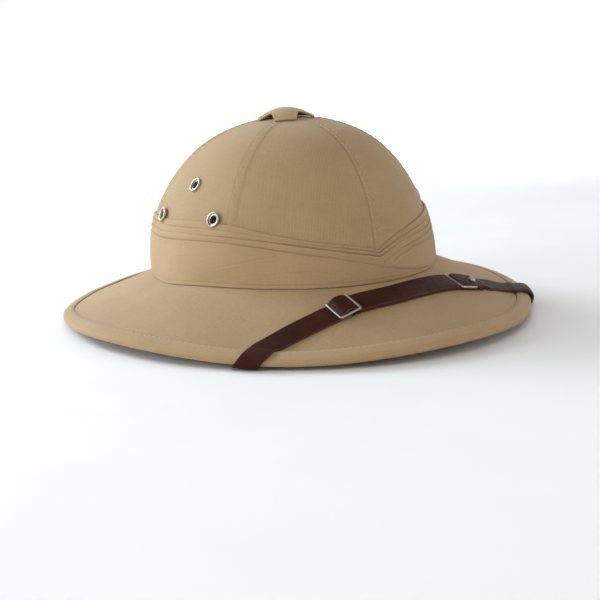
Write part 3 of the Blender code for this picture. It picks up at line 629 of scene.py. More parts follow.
def laid(degrees, out, lift):
    """Points lifted off the skin, given the length of skin from the binding's stitching."""
    place = value_between(out, skin_lengths(degrees), SKIN_PLACES)
    return skin_point(degrees, place) + np.asarray(lift)[..., None] * skin_normal(degrees, out)


def skin_normal(degrees, out):
    """Directions away from the brim's skin, taken over the same length on either side."""
    span = 1.5 * MM
    lengths = skin_lengths(degrees)
    place = value_between(out, lengths, SKIN_PLACES)
    ahead = value_between(out + span, lengths, SKIN_PLACES)
    behind = value_between(out - span, lengths, SKIN_PLACES)
    outward = skin_point(degrees, ahead) - skin_point(degrees, behind)
    round_hat = skin_point(degrees + 1.0, place) - skin_point(degrees - 1.0, place)
    return unit(np.cross(outward, round_hat))


def degree_length(degrees, out):
    """Length round the hat of one degree, at a length of skin from the stitching."""
    return length_of(laid(degrees + 0.5, out, 0.0) - laid(degrees - 0.5, out, 0.0))


# The strap's route


def route_samples():
    """Points of a smooth curve through the route's rows, as angle and skin length."""
    table = np.array(STRAP_ROUTE)
    lengths = value_between(table[:, 1], SKIN_PLACES, skin_lengths(table[:, 0]))
    rows = np.stack([table[:, 0], lengths], axis=1)
    steps, middles = np.diff(rows, axis=0), 0.5 * (rows[1:] + rows[:-1])
    gaps = np.hypot(steps[:, 0] * degree_length(middles[:, 0], middles[:, 1]), steps[:, 1])
    slopes = steps / gaps[:, None]
    before, after = gaps[:-1, None], gaps[1:, None]
    inside = (slopes[:-1] * after + slopes[1:] * before) / (before + after)
    bends = np.concatenate([slopes[:1], inside, slopes[-1:]])
    share = (np.arange(ROUTE_SAMPLES) / ROUTE_SAMPLES)[None, :, None]
    gap = gaps[:, None, None]
    curve = rows[:-1, None] + steps[:, None] * smooth(share)
    curve = curve + bends[:-1, None] * share * (1.0 - share) ** 2 * gap
    curve = curve + bends[1:, None] * share * share * (share - 1.0) * gap
    return np.concatenate([curve.reshape(-1, 2), rows[-1:]])


class StrapRoute:
    """The strap's route by distance from the front middle."""

    def __init__(self):
        self.samples = route_samples()
        points = laid(self.samples[:, 0], self.samples[:, 1], layer_lift(0))
        lengths = np.concatenate([[0.0], np.cumsum(length_of(np.diff(points, axis=0)))])
        self.distances = lengths - value_between(0.0, self.samples[:, 0], lengths)
        self.start, self.end = self.distances[0], self.distances[-1]

    def at(self, distance):
        """Angle and skin length at a distance."""
        return [value_between(distance, self.distances, column) for column in self.samples.T]

    def point(self, distance, lift):
        return laid(*self.at(distance), lift)

    def bend(self, distance, reach):
        """1 where the strap goes round the binding, easing to 0 over a reach on either side."""
        degrees, out = self.at(distance)
        roll = value_between(np.full(np.shape(degrees), 2.0), SKIN_PLACES, skin_lengths(degrees))
        return smooth((out + BEND_ROOM + reach) / reach) * smooth((roll + BEND_ROOM + reach - out) / reach)

    def across_shift(self, distance):
        """Change of angle and skin length for each metre across the strap. Where the strap bends its
        cross lines run along the rim, so that it goes round without a twist, and on the wearer's
        right they grow little longer for it."""
        degrees, out = self.at(distance)
        step = 2.0 * MM
        round_hat = laid(degrees + 0.5, out, 0.0) - laid(degrees - 0.5, out, 0.0)
        outward = (laid(degrees, out + step, 0.0) - laid(degrees, out - step, 0.0)) / (2.0 * step)
        before, after = self.at(distance - step), self.at(distance + step)
        along = round_hat * (after[0] - before[0])[..., None] + outward * (after[1] - before[1])[..., None]
        across = unit(np.cross(np.cross(outward, round_hat), along))
        rim = unit(round_hat)
        facing = (rim * across).sum(-1)
        least = LEAST_FACING + (1.0 - LEAST_FACING) * smooth(out / FACING_EASE)
        least = np.where(degrees < 0.0, least, 0.0)
        rim = rim / np.copysign(np.maximum(np.abs(facing), least), facing)[..., None]
        across = across + (rim - across) * self.bend(distance, SKEW_ROOM)[..., None]
        skew = (round_hat * outward).sum(-1)
        turned, moved = (round_hat**2).sum(-1), (outward**2).sum(-1)
        square = turned * moved - skew * skew
        turn, move = (across * round_hat).sum(-1), (across * outward).sum(-1)
        return (turn * moved - move * skew) / square, (move * turned - turn * skew) / square

    def laid_point(self, distance, side, lift):
        """Points a distance to the side of the strap's middle line, lifted off the brim's skin."""
        degrees, out = self.at(distance)
        turn, move = self.across_shift(distance)
        slack = np.where(distance < 0.0, *STRAP_SLACK)
        lift = lift + slack * self.bend(distance, BEND_ROOM)
        return laid(degrees + side * turn, out + side * move, lift)

    def axes(self, distance):
        """Directions along the strap, across it and away from the brim."""
        step = 1.5 * MM
        along = unit(self.point(distance + step, 0.0) - self.point(distance - step, 0.0))
        across = unit(np.cross(skin_normal(*self.at(distance)), along))
        return along, across, np.cross(along, across)


def layer_lift(layers_below):
    """Height of a strap's middle over the brim, with other strap layers below it."""
    return STRAP_GAP + 0.5 * STRAP_THICKNESS + layers_below * (STRAP_THICKNESS + LAYER_GAP)


def bar_lift(layers_below):
    """Height of a frame's bar over the brim, with strap layers below it."""
    return STRAP_GAP + layers_below * (STRAP_THICKNESS + LAYER_GAP) + BAR_RADIUS


def lift_over_slider(distance):
    """The long strap lies on the brim, arches over the slider's bar, and lies on the link."""
    crest = bar_lift(2) + SLIDER_BAR_RADIUS + 0.5 * STRAP_THICKNESS - SLIDER_PRESS
    side = distance - SLIDER_PLACE
    level = np.where(side < 0.0, layer_lift(0), layer_lift(1))
    share = np.clip(1.0 - np.abs(side) / HALF_OPENING, 0.0, 1.0)
    return level + (crest - level) * np.sin(0.5 * math.pi * share) ** CREST_POWER


def lift_over_keeper(distance):
    """The short strap lies over the keeper and the link's end, then comes down to the brim."""
    over = bar_lift(1) + BAR_RADIUS + 0.5 * STRAP_THICKNESS - STRAP_PRESS
    frame_end = KEEPER_PLACE + 0.5 * FRAME_LENGTH - BAR_RADIUS
    on_link = layer_lift(1)
    down = over + (on_link - over) * smooth((distance - frame_end + KEEPER_SLOPE_START) / KEEPER_SLOPE)
    past = distance - LINK_END_PLACE - LINK_SLOPE_START
    return down + (layer_lift(0) - on_link) * smooth(past / LINK_SLOPE)


def flat_lift(distance):
    return np.full(np.shape(distance), layer_lift(0))


def pinched_width(distance):
    """The strap's width, drawn in where it goes up through the slider."""
    share = smooth((np.abs(distance - SLIDER_PLACE) - HALF_OPENING) / PINCH_EASE)
    return STRAP_PINCH + (STRAP_WIDTH - STRAP_PINCH) * share


def full_width(distance):
    return np.full(np.shape(distance), STRAP_WIDTH)


# Making pieces


def made(name, *materials):
    """Names the object that an operator has just added, and gives it its materials."""
    item = bpy.context.object
    item.name = name
    item.data.name = name
    item.data.materials.clear()
    for material in materials:
        item.data.materials.append(material)
    return item


def set_points(item, points):
    item.data.vertices.foreach_set("co", np.ascontiguousarray(points, float).ravel())
    item.data.update()


def get_points(item):
    points = np.empty(len(item.data.vertices) * 3)
    item.data.vertices.foreach_get("co", points)
    return points.reshape(-1, 3)


def corner_vertices(item):
    """For every face corner, its vertex and its face."""
    mesh = item.data
    vertices, sizes = np.empty(len(mesh.loops), int), np.empty(len(mesh.polygons), int)
    mesh.loops.foreach_get("vertex_index", vertices)
    mesh.polygons.foreach_get("loop_total", sizes)
    return vertices, np.repeat(np.arange(len(sizes)), sizes)


def set_weave(item, across, along):
    """Writes the cloth's thread directions, in tenths of a metre, to the piece's own UV map."""
    mesh = item.data
    layer = mesh.uv_layers[0] if mesh.uv_layers else mesh.uv_layers.new()
    layer.name = "weave"
    layer.uv.foreach_set("vector", np.stack([across, along], axis=1).ravel() * 10.0)


def set_painted_shade(item, depth):
    """Writes the painted shade of each point, from 0 to 1, which darkens the cloth's colour in seams and
    folds.
    """
    layer = item.data.attributes.new("painted_shade", "FLOAT", "POINT")
    layer.data.foreach_set("value", np.ascontiguousarray(np.clip(depth, 0.0, 1.0), float))


def finish_with(item, kind, **settings):
    """Adds a modifier with its settings and applies it."""
    modifier = item.modifiers.new(kind.lower(), kind)
    for name, value in settings.items():
        setattr(modifier, name, value)
    bpy.context.view_layer.objects.active = item
    bpy.ops.object.modifier_apply(modifier=modifier.name)


def soft_edge(item, width, segments, degrees, **settings):
    """Rounds the edges that are sharper than an angle."""
    limits = {"limit_method": "ANGLE", "angle_limit": math.radians(degrees)}
    finish_with(item, "BEVEL", width=width, segments=segments, **limits, **settings)


def select_only(*items):
    """Selects pieces and makes the first one active."""
    bpy.ops.object.select_all(action="DESELECT")
    for item in items:
        item.select_set(True)
    bpy.context.view_layer.objects.active = items[0]


def edit(item, *steps):
    """Runs operators, given with their settings, on the whole of a piece in edit mode."""
    select_only(item)
    bpy.ops.object.mode_set(mode="EDIT")
    bpy.ops.mesh.select_mode(type="VERT")
    bpy.ops.mesh.select_all(action="SELECT")
    for operator, settings in steps:
        operator(**settings)
    bpy.ops.object.mode_set(mode="OBJECT")


def face_outwards(item):
    edit(item, (bpy.ops.mesh.normals_make_consistent, {"inside": False}))


def smooth_by_angle(item, degrees):
    select_only(item)
    bpy.ops.object.shade_smooth_by_angle(angle=math.radians(degrees))


def delete_where(item, wrong):
    """Deletes the vertices that a row of yes and no values names."""
    bpy.context.view_layer.objects.active = item
    for polygon in item.data.polygons:
        polygon.select = False
    for edge in item.data.edges:
        edge.select = False
    item.data.vertices.foreach_set("select", wrong)
    bpy.ops.object.mode_set(mode="EDIT")
    bpy.ops.mesh.select_mode(type="VERT")
    bpy.ops.mesh.delete(type="VERT")
    bpy.ops.object.mode_set(mode="OBJECT")


def dress(item, node, degrees=40.0):
    """Shades a finished piece smooth by angle, hides the node that it stands for, and attaches it to the
    root.
    """
    smooth_by_angle(item, degrees)
    if node:
        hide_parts(node)
    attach(item, "root")


def uneven(points, size, seed):
    """Soft unevenness from -1 to 1 at points, with bumps of about a size."""
    shift = Vector([seed * step for step in SEED_STEP])
    return np.array([noise.noise(Vector(point) / size + shift) for point in points])


def ring(name, section, steps, material):
    """A ring round the hat: a circle spun round the vertical. The section gives its points at each
    angle, from its outer face up, inwards and down, and the painted shade of each one."""
    points, painted_shade = section(np.arange(steps) * 360.0 / steps - 180.0)
    count = points.shape[1]
    bpy.ops.mesh.primitive_circle_add(
        vertices=count, radius=0.02, location=(0.1, 0.0, 0.0), rotation=(0.5 * math.pi, 0.0, 0.0)
    )
    item = made(name, material)
    bpy.ops.object.transform_apply(location=True, rotation=True, scale=False)
    spin_round(item, steps, 0.000001)
    x, y, z = get_points(item).T
    major = np.rint((np.degrees(np.arctan2(x, -y)) + 180.0) / 360.0 * steps).astype(int) % steps
    minor = np.rint(np.arctan2(0.1 - np.hypot(x, y), z) / (2.0 * math.pi) * count).astype(int) % count
    set_points(item, points[major, minor])
    set_painted_shade(item, painted_shade[major, minor])
    vertices, _ = corner_vertices(item)
    major, minor = major[vertices].reshape(-1, 4), minor[vertices].reshape(-1, 4)
    major = np.where(major.max(axis=1, keepdims=True) - major > steps // 2, major + steps, major).ravel()
    minor = np.where(minor.max(axis=1, keepdims=True) - minor > count // 2, minor + count, minor).ravel()
    closed = np.concatenate([points, points[:, :1]], axis=1)
    rise = np.cumsum(length_of(np.diff(closed, axis=1)), axis=1)
    rise = np.concatenate([np.zeros((steps, 1)), rise], axis=1)
    middle = points.mean(axis=1)
    girth = length_of(np.roll(middle, -1, axis=0) - middle).sum()
    set_weave(item, major / steps * girth, rise[major % steps, minor])
    return item


def spin_round(item, steps, closeness, facing_in=False):
    """Spins a profile all the way round the vertical and joins its ends."""
    spin = {"steps": steps, "angle": 2.0 * math.pi, "center": (0.0, 0.0, 0.0), "axis": (0.0, 0.0, 1.0)}
    edit(
        item,
        (bpy.ops.mesh.spin, spin),
        (bpy.ops.mesh.select_all, {"action": "SELECT"}),
        (bpy.ops.mesh.remove_doubles, {"threshold": closeness}),
        (bpy.ops.mesh.normals_make_consistent, {"inside": facing_in}),
    )


def turned(name, profile, steps, material):
    """A turned piece: a profile of radius and height, spun round the vertical through the origin."""
    bpy.ops.mesh.primitive_circle_add(vertices=len(profile), radius=1.0, location=(0.0, 0.0, 0.0))
    item = made(name, material)
    set_points(item, [(radius, 0.0, height) for radius, height in profile])
    spin_round(item, steps, 0.00001)
    return item


def placed_copy(item, name, matrix):
    """A copy of a piece with its own mesh, moved in its mesh by a matrix."""
    copy = item.copy()
    copy.data = item.data.copy()
    copy.name = name
    copy.data.name = name
    copy.data.transform(matrix)
    bpy.context.scene.collection.objects.link(copy)
    return copy


def crown_frame(degrees, height):
    """A matrix on the crown's outer face whose z axis points away from it."""
    out = crown_normal(degrees, height)
    upward = crown_point(degrees, height + MM) - crown_point(degrees, height - MM)
    across = unit(np.cross(upward, out))
    matrix = Matrix((across, np.cross(out, across), out)).transposed().to_4x4()
    matrix.translation = crown_point(degrees, height)
    return matrix


def eyelet_places():
    """Name, angle, height, frame and lift of each of the six eyelets."""
    for side, sign in (("right", -1.0), ("left", 1.0)):
        for name, turn, height, lift in EYELETS:
            degrees = sign * (EYELET_SIDE_ANGLE + turn)
            yield f"eyelet_{side}_{name}", degrees, height, crown_frame(degrees, height), lift


# Sewing


def stitches(name, rows, material):
    """Rows of thread stitches. Each row gives the middles, directions and outward directions."""
    sides, rings = 6, 5
    bpy.ops.mesh.primitive_cylinder_add(
        vertices=sides, radius=THREAD_RADIUS, depth=STITCH_LENGTH, rotation=(0.0, 0.5 * math.pi, 0.0)
    )
    item = made(name, material)
    bpy.ops.object.transform_apply(location=False, rotation=True, scale=False)
    builder = bmesh.new()
    builder.from_mesh(item.data)
    long_edges = [edge for edge in builder.edges if abs(edge.verts[0].co.x - edge.verts[1].co.x) > MM]
    bmesh.ops.subdivide_edges(builder, edges=long_edges, cuts=rings - 2)
    for vertex in builder.verts:
        reach = abs(vertex.co.x) / (0.5 * STITCH_LENGTH)
        vertex.co.yz *= 1.0 - STITCH_TAPER * reach**3
        vertex.co.z -= 2.0 * THREAD_RADIUS * reach**3
    builder.to_mesh(item.data)
    builder.free()
    shape = get_points(item)
    faces = [list(polygon.vertices) for polygon in item.data.polygons]
    points, polygons = [], []
    for middles, along, out in rows:
        along, out = unit(along), unit(out)
        across = np.cross(out, along)
        for place in range(len(middles)):
            start = len(points) * len(shape)
            turn = np.stack([along[place], across[place], out[place]])
            points.append(shape @ turn + middles[place])
            polygons += [[index + start for index in face] for face in faces]
    mesh = bpy.data.meshes.new(name)
    mesh.from_pydata(np.concatenate(points).tolist(), [], polygons)
    mesh.materials.append(material)
    item.data = mesh
    return item


def row_of_stitches(line, normals, pitch):
    """Places for stitches along a line of points with their outward directions."""
    lengths = np.concatenate([[0.0], np.cumsum(length_of(np.diff(line, axis=0)))])
    count = int(lengths[-1] / pitch)
    spots = (np.arange(count) + 0.5) * lengths[-1] / count
    near = 0.3 * pitch
    along = columns_at(spots + near, lengths, line) - columns_at(spots - near, lengths, line)
    return columns_at(spots, lengths, line), along, columns_at(spots, lengths, normals)


# The crown


def row_share(row):
    """Share of the crown's height at a row of its mesh."""
    return np.sin(0.5 * math.pi * row / CROWN_ROWS) ** (2.0 / CROWN_RISE_POWER)


def seam_angle(seam, share):
    """Angle of a seam's line at a share of the crown's height. The front one drifts a little, and the
    rear one on the wearer's right is sewn further forwards."""
    drift = FRONT_SEAM_FOOT + (FRONT_SEAM_TOP - FRONT_SEAM_FOOT) * smooth(share)
    shift = np.where(seam % PANELS == REAR_RIGHT_SEAM, REAR_SEAM_SHIFT, 0.0)
    return seam * PANEL_DEGREES + np.where(seam % PANELS == 0, drift, shift)


def degree_size(degrees, share):
    """Length of one degree round the crown at a share of its height."""
    angle = np.radians(degrees)
    radius = (1.0 - share**CROWN_RISE_POWER) ** (1.0 / CROWN_ROUND_POWER)
    size = np.hypot(CROWN_HALF_WIDTH * np.cos(angle), CROWN_HALF_LENGTH * np.sin(angle))
    return np.maximum(radius * size, 0.5 * MM) * math.pi / 180.0


def seam_relief(distance, row):
    """Height of the cloth near a seam: the lap, the two sewn rows and the puckers between stitches."""
    lap = smooth(distance / LAP_EDGE + 0.5) * smooth((WELT_WIDTH + LAP_PAST_WIDTH - distance) / LAP_RUN_OUT)
    relief = WELT_RISE * lap - SEAM_GROOVE * hill(distance - SEAM_GROOVE_PLACE, SEAM_GROOVE_REACH)
    beat = np.cos(2.0 * math.pi * row / ROWS_PER_STITCH)
    for place in SEAM_ROWS:
        sink = STITCH_SINK * hill(distance - place, STITCH_SINK_REACH)
        relief = relief - sink * (1.0 - STITCH_BEAT + STITCH_BEAT * beat)
        relief = relief - PUCKER_RISE * beat * hill(distance - place, PUCKER_REACH)
    return relief


def mesh_columns(seam, place, share):
    """The seam's line, the turn from it to each of the mesh's columns, which lie closer by the seams,
    and the length of one degree there."""
    line = seam_angle(seam, share)
    side, steps, middle = np.where(place < 0, -1, 1), np.abs(place), 0.5 * PANEL_STEPS
    half = 0.5 * np.abs(seam_angle(seam + side, share) - line)
    size = degree_size(line, np.minimum(share, CROWN_TOP_SHARE))
    near = np.array(SEAM_COLUMNS) * MM
    close = np.minimum(near[np.minimum(steps, SEAM_STEPS)] / size, steps / middle * half)
    reach = np.minimum(near[SEAM_STEPS] / size, SEAM_STEPS / middle * half)
    far = reach + (half - reach) * (steps - SEAM_STEPS) / (middle - SEAM_STEPS)
    return line, side * np.where(steps <= SEAM_STEPS, close, far), size


def weave_on_panels(item, step, share, degrees, size):
    """Lays the weave on each panel, from its middle outwards and from the foot up."""
    around = PANELS * PANEL_STEPS
    vertices, faces = corner_vertices(item)
    starts = np.searchsorted(faces, np.arange(len(item.data.polygons)))
    ahead = np.where(share[vertices] > CROWN_TOP_SHARE, -around, step[vertices])
    first = np.minimum.reduceat(step[vertices], starts)[faces]
    last = np.maximum.reduceat(ahead, starts)[faces]
    start = np.where(last - first > around // 2, last, np.minimum(first, last))
    panel = np.floor_divide(start, PANEL_STEPS)
    share = share[vertices]
    centre = 0.5 * (seam_angle(panel, share) + seam_angle(panel + 1, share))
    away = wrap_angle(degrees[vertices] - centre) * size[vertices]
    top = crown_point(30.0, share * CROWN_HEIGHT)[:, 2].max()
    set_weave(item, away, np.arcsin(np.clip(share, 0.0, 1.0)) * 0.5 * (CROWN_HALF_LENGTH + top))


def crown(cloth, holes):
    """The crown: the top half of a sphere drawn to the hat's shape, closer meshed at its seams."""
    around = PANELS * PANEL_STEPS
    bpy.ops.mesh.primitive_uv_sphere_add(segments=around, ring_count=2 * CROWN_ROWS, radius=1.0)
    item = made("cloth_crown", cloth)
    delete_where(item, get_points(item)[:, 2] < -0.0001)
    x, y, z = get_points(item).T
    row = np.rint(np.arcsin(np.clip(z, 0.0, 1.0)) / (0.5 * math.pi) * CROWN_ROWS)
    share = row_share(row)
    step = np.rint(np.arctan2(x, -y) / (2.0 * math.pi) * around).astype(int)
    seam = np.rint(step / PANEL_STEPS).astype(int)
    line, turn, size = mesh_columns(seam, step - seam * PANEL_STEPS, share)
    degrees, height, distance = line + turn, share * CROWN_HEIGHT, turn * size
    points = crown_point(degrees, height)
    band_top = BAND_HEIGHT * row_between(wrap_angle(degrees))[..., 0]
    fade = smooth((SEAM_END - share) / SEAM_FADE)
    shown = smooth((height - band_top + SEAM_START_DEPTH) / SEAM_START_EASE) * fade
    swell = CLOTH_SWELL * uneven(points, CROWN_SWELL_SIZE, 1.0) * smooth((1.0 - share) / SWELL_FADE)
    relief = (seam_relief(distance, row) + swell) * shown
    top = share > CROWN_TOP_SHARE
    normal = crown_normal(degrees, np.where(top, 0.5, share) * CROWN_HEIGHT)
    out = np.where(top[:, None], (0.0, 0.0, 1.0), normal)
    set_points(item, points + out * relief[:, None])
    # Painted shade along each seam's lap edge and inner row, deeper on the rear seam on the wearer's right
    shade = sum(depth * hill(distance - place, reach) for depth, place, reach in SEAM_SHADES)
    depth, place, reach = REAR_SEAM_SHADE
    rear = seam % PANELS == REAR_RIGHT_SEAM
    set_painted_shade(item, (shade + depth * hill(distance - place, reach) * rear) * fade)
    weave_on_panels(item, step, share, degrees, size)

    extrude = {"TRANSFORM_OT_translate": {"value": (0.0, 0.0, -BRIM_WALL)}}
    edit(
        item,
        (bpy.ops.mesh.select_all, {"action": "DESELECT"}),
        (bpy.ops.mesh.select_non_manifold, {"use_boundary": True}),
        (bpy.ops.mesh.extrude_region_move, extrude),
        (bpy.ops.mesh.select_all, {"action": "SELECT"}),
        (bpy.ops.mesh.normals_make_consistent, {"inside": False}),
    )
    finish_with(item, "SOLIDIFY", thickness=CROWN_WALL, offset=-1.0)
    finish_with(item, "BOOLEAN", object=holes, operation="DIFFERENCE", solver="EXACT")
    dress(item, "crown", 60.0)


def crown_stitching(thread):
    """The two rows of sewing on each of the six seams, from the pugaree up to the cap."""
    rows = []
    steps = np.arange(0, CROWN_ROWS, ROWS_PER_STITCH) + 0.5 * ROWS_PER_STITCH
    for seam in range(-PANELS // 2, PANELS // 2):
        share = row_share(steps)
        line = seam_angle(seam, share)
        top = BAND_HEIGHT * row_between(wrap_angle(line))[:, 0] + 1.0 * MM
        kept = (share * CROWN_HEIGHT > top) & (share < SEAM_END)
        share, line = share[kept], line[kept]
        for place in SEAM_ROWS:
            degrees = line + place / degree_size(line, share)
            out = crown_normal(degrees, share * CROWN_HEIGHT)
            middles = crown_point(degrees, share * CROWN_HEIGHT) + out * STITCH_LIFT
            rows.append((middles, np.gradient(middles, axis=0), out))
    dress(stitches("crown_stitching", rows, thread), None)


# The brim and its binding


def brim_section(degrees):
    """The brim's top from the binding in to the crown, then its underside back outwards."""
    edge = rim_point(degrees, binding_width(degrees) + 0.1 * MM, BINDING_RISE)
    start, full = brim_point(degrees, np.zeros_like(degrees)), brim_point(degrees, np.ones_like(degrees))
    reach = length_of((edge - start)[:, :2]) / length_of((full - start)[:, :2])
    top = (1.0 - np.arange(BRIM_TOP_ROWS + 1) / BRIM_TOP_ROWS) * reach[:, None]
    under = np.arange(BRIM_UNDER_ROWS + 1) / BRIM_UNDER_ROWS * reach[:, None]
    turn = degrees[:, None]
    points = np.concatenate([brim_point(turn, top), brim_point(turn, under, BRIM_WALL)], axis=1)
    return points, np.zeros(points.shape[:2])


def brim(cloth):
    """The brim: two skins of cloth over a stiff sheet, a little uneven as glued cloth is."""
    item = ring("cloth_brim", brim_section, BRIM_STEPS, cloth)
    points = get_points(item)
    points[:, 2] += CLOTH_SWELL * uneven(points, BRIM_SWELL_SIZE, 2.0)
    set_points(item, points)
    dress(item, "brim", 60.0)


def binding_section(degrees):
    """Half way round the roll first, then up to the stitching, across and back under the lip."""
    turn = degrees[:, None]
    rows = 0.5 * (1.0 - np.arange(BINDING_ROWS + 1) / BINDING_ROWS)
    upper = binding_point(turn, rows[None, :])
    sewn = np.arange(BINDING_ROWS + 1) / BINDING_ROWS
    edge_drop = BINDING_EDGE_DROP * smooth((sewn - BINDING_EDGE_START) / BINDING_EDGE_EASE)
    rise = BINDING_PROUD * smooth((sewn - BINDING_SWELL_START) / BINDING_SWELL_EASE) * (1.0 - edge_drop)
    inset = binding_width(turn) * (1.0 - np.sin(np.pi * rows)) - binding_width(turn) + BINDING_STITCH_INSET
    rise = rise - BINDING_SINK * hill(inset, BINDING_SINK_REACH)
    upper = upper + stacked(0.0, 0.0, np.broadcast_to(rise, upper.shape[:2]))
    depths = np.array((BINDING_RISE - 0.5 * BRIM_WALL, BINDING_RISE - BRIM_WALL))
    inside = rim_point(turn, binding_width(turn), depths)
    low = 0.5 + 0.5 * np.arange(6, 0, -1) / 6.0
    points = np.concatenate([upper, inside, binding_point(turn, low[None, :])], axis=1)
    # Painted shade along the stitching and at the roll's inner edge
    painted_shade = np.zeros(points.shape[:2])
    edge = upper.shape[1]
    painted_shade[:, :edge] = BINDING_STITCH_SHADE * hill(inset, BINDING_SHADE_REACH)
    painted_shade[:, edge - 1 : edge + 2] = BINDING_EDGE_SHADE
    return points, painted_shade


def brim_binding(cloth):
    """The rolled cloth strip on the brim's edge."""
    item = ring("rolled_binding", binding_section, BINDING_STEPS, cloth)
    dress(item, "brim_binding", 60.0)


def brim_stitching(thread):
    """The row of sewing that holds the binding, just inside the strip's turned edge."""
    degrees = np.linspace(-180.0, 180.0, 721)
    share = BINDING_STITCH_INSET / BINDING_WIDTH
    turn = np.full(degrees.shape, math.asin(share) / math.pi)
    line = binding_point(degrees, turn)
    ahead = binding_point(degrees, turn + 0.02)
    round_hat = binding_point(degrees + 0.5, turn) - binding_point(degrees - 0.5, turn)
    out = unit(np.cross(ahead - line, round_hat))
    line = line + stacked(0.0, 0.0, np.full(degrees.shape, BINDING_PROUD - 0.5 * BINDING_SINK))
    item = stitches("brim_stitching", [row_of_stitches(line, out, STITCH_PITCH)], thread)
    dress(item, None)


# The pugaree


def row_between(degrees):
    """The four pleats' heights at angles, on lines between the table's rows."""
    table = np.array(PLEATS)
    return columns_at(np.asarray(degrees, float), table[:, 0], table[:, 1:])


def crease_relief(degrees, heights):
    """Depth of the soft creases and the hem's fine groove at places on the band."""
    relief = np.zeros_like(heights)
    for depth, rise, side, line in CREASES:
        turns, shares = np.array(line).reshape(-1, 2).T
        near = [np.interp(degrees + turn, turns, shares) * BAND_HEIGHT for turn in (0.0, 1.0, -1.0)]
        middle, ahead, behind = near
        away = (heights - middle) / np.hypot(1.0, (ahead - behind) / (2.0 * BAND_DEGREE))
        shown = smooth((degrees - turns[0]) / CREASE_START_EASE)
        shown = shown * smooth((turns[-1] - degrees) / CREASE_END_EASE)
        relief = relief + shown * rise * hill(away - RIDGE_PLACE * side, RIDGE_REACH)
        relief = relief - shown * depth * hill(away, CREASE_REACH)
    away = heights - BAND_HEM
    return relief - HEM_GROOVE * hill(away, HEM_GROOVE_REACH) + HEM_FULLNESS * smooth(0.5 - away / MM)


def pleat_edges(degrees):
    """Heights of the four pleats' edges with the cloth's unevenness, and how firmly each is pressed."""
    edges = row_between(degrees) * BAND_HEIGHT
    firmness = []
    for number in range(4):
        place = crown_point(degrees, 0.0) * (1.0 + PLEAT_SPREAD * number)
        edges[:, number] += PLEAT_WAVE * uneven(place, PLEAT_WAVE_SIZE, 5.0 + number)
        at_point = POINT_WAVE * hill(degrees, POINT_REACH)
        edges[:, number] += at_point * uneven(place, POINT_WAVE_SIZE, 11.0 + number)
        firm = FIRMNESS + FIRMNESS_RANGE * uneven(place, FIRMNESS_SIZE, 21.0 + number)
        firmness.append(np.clip(firm, *FIRMNESS_LIMITS))
    return edges.T, firmness


def band_rows(top, second, third, fourth):
    """The band's rows: height, height off the crown, pleat and painted shade of each."""
    level = 0.0 * top
    rows = [(level + height, offset, 3, shade) for height, offset, shade in BAND_FOOT]
    rows += [(level + height, BAND_PLAIN, 3, 0.0) for height in BAND_HEM_ROWS]
    start, lower = BAND_HEM_ROWS[-1], fourth * BAND_FACE_END
    for share in np.arange(1, BAND_FACE_ROWS + 1) / BAND_FACE_ROWS:
        swell = BAND_FACE_SWELL * math.sin(math.pi * share)
        rows.append((start + share * (lower - start), BAND_PLAIN + swell, 3, 0.0))
    for number, edge, above in ((3, fourth, third), (2, third, second), (1, second, top)):
        for down, up, height, offset, shade in PLEAT_EDGE:
            rows.append((edge - down * (edge - lower) + up * (above - edge) + height, offset, number, shade))
        lower = edge + PLEAT_BOTTOM
    rows += [(top + height, offset, 0, shade) for height, offset, shade in BAND_TOP]
    return rows + [(top * share, BAND_GAP, 0, 0.0) for share in BAND_INNER_ROWS]


def pugaree_section(degrees):
    """The band's outer face from the foot up, with a rolled edge at each pleat, then its inner face."""
    edges, firmness = pleat_edges(degrees)
    heights, offsets, pleats, shades = zip(*band_rows(*edges))
    turn, heights = degrees[:, None], np.stack(heights, axis=1)
    offsets = np.broadcast_to(offsets, heights.shape).copy()
    # Painted shade under the pleats' edges, at the band's foot and top edge, and in the creases' grooves
    painted_shade = np.broadcast_to(shades, heights.shape).copy()
    firm = np.stack([firmness[number] for number in pleats], axis=1)
    outside = len(pleats) - len(BAND_TOP[2:]) - len(BAND_INNER_ROWS)
    creased, pressed = slice(len(BAND_FOOT) - 1, outside), slice(len(BAND_FOOT), outside)
    offsets[:, pressed] = BAND_PLAIN + (offsets[:, pressed] - BAND_PLAIN) * firm[:, pressed]
    painted_shade[:, pressed] *= firm[:, pressed]
    painted_shade *= (BAND_SHADE - BAND_LEFT_SHADE_LOSS * smooth(degrees / BAND_LEFT_EASE))[:, None]
    relief = crease_relief(turn, heights[:, creased])
    offsets[:, creased] += relief
    painted_shade[:, creased] += np.clip(-relief / CREASE_SHADE_DEPTH, 0.0, 1.0)
    here, press = crown_point(turn, heights), np.zeros_like(heights)
    for _, spot, height, _, _ in eyelet_places():
        away = length_of(here - crown_point(spot, height))
        press = np.maximum(press, hill(away, BAND_PRESS_REACH))
    return crown_point(turn, heights, BAND_GAP + (offsets - BAND_GAP) * (1.0 - BAND_PRESS * press)), painted_shade


def pugaree(cloth, holes):
    """The folded cloth band round the crown's foot."""
    item = ring("folded_pugaree", pugaree_section, BAND_STEPS, cloth)
    finish_with(item, "BOOLEAN", object=holes, operation="DIFFERENCE", solver="EXACT")
    dress(item, "pugaree", 50.0)
    return item


# The ventilator cap


def cap_height(place, apex, rise):
    """Height of the cap's underside: arched in the middle, and on the crown at its feet."""
    degrees = np.degrees(np.arctan2(place[:, 0], -place[:, 1]))
    low, high = np.zeros(len(place)), np.full(len(place), CROWN_HEIGHT)
    for _ in range(24):
        middle = 0.5 * (low + high)
        surface = crown_point(degrees, middle)
        inside = length_of((surface - apex)[:, :2]) > length_of(place)
        low, high = np.where(inside, middle, low), np.where(inside, high, middle)
    rest = crown_point(degrees, low)[:, 2] + 0.5 * GAP
    return rest + rise


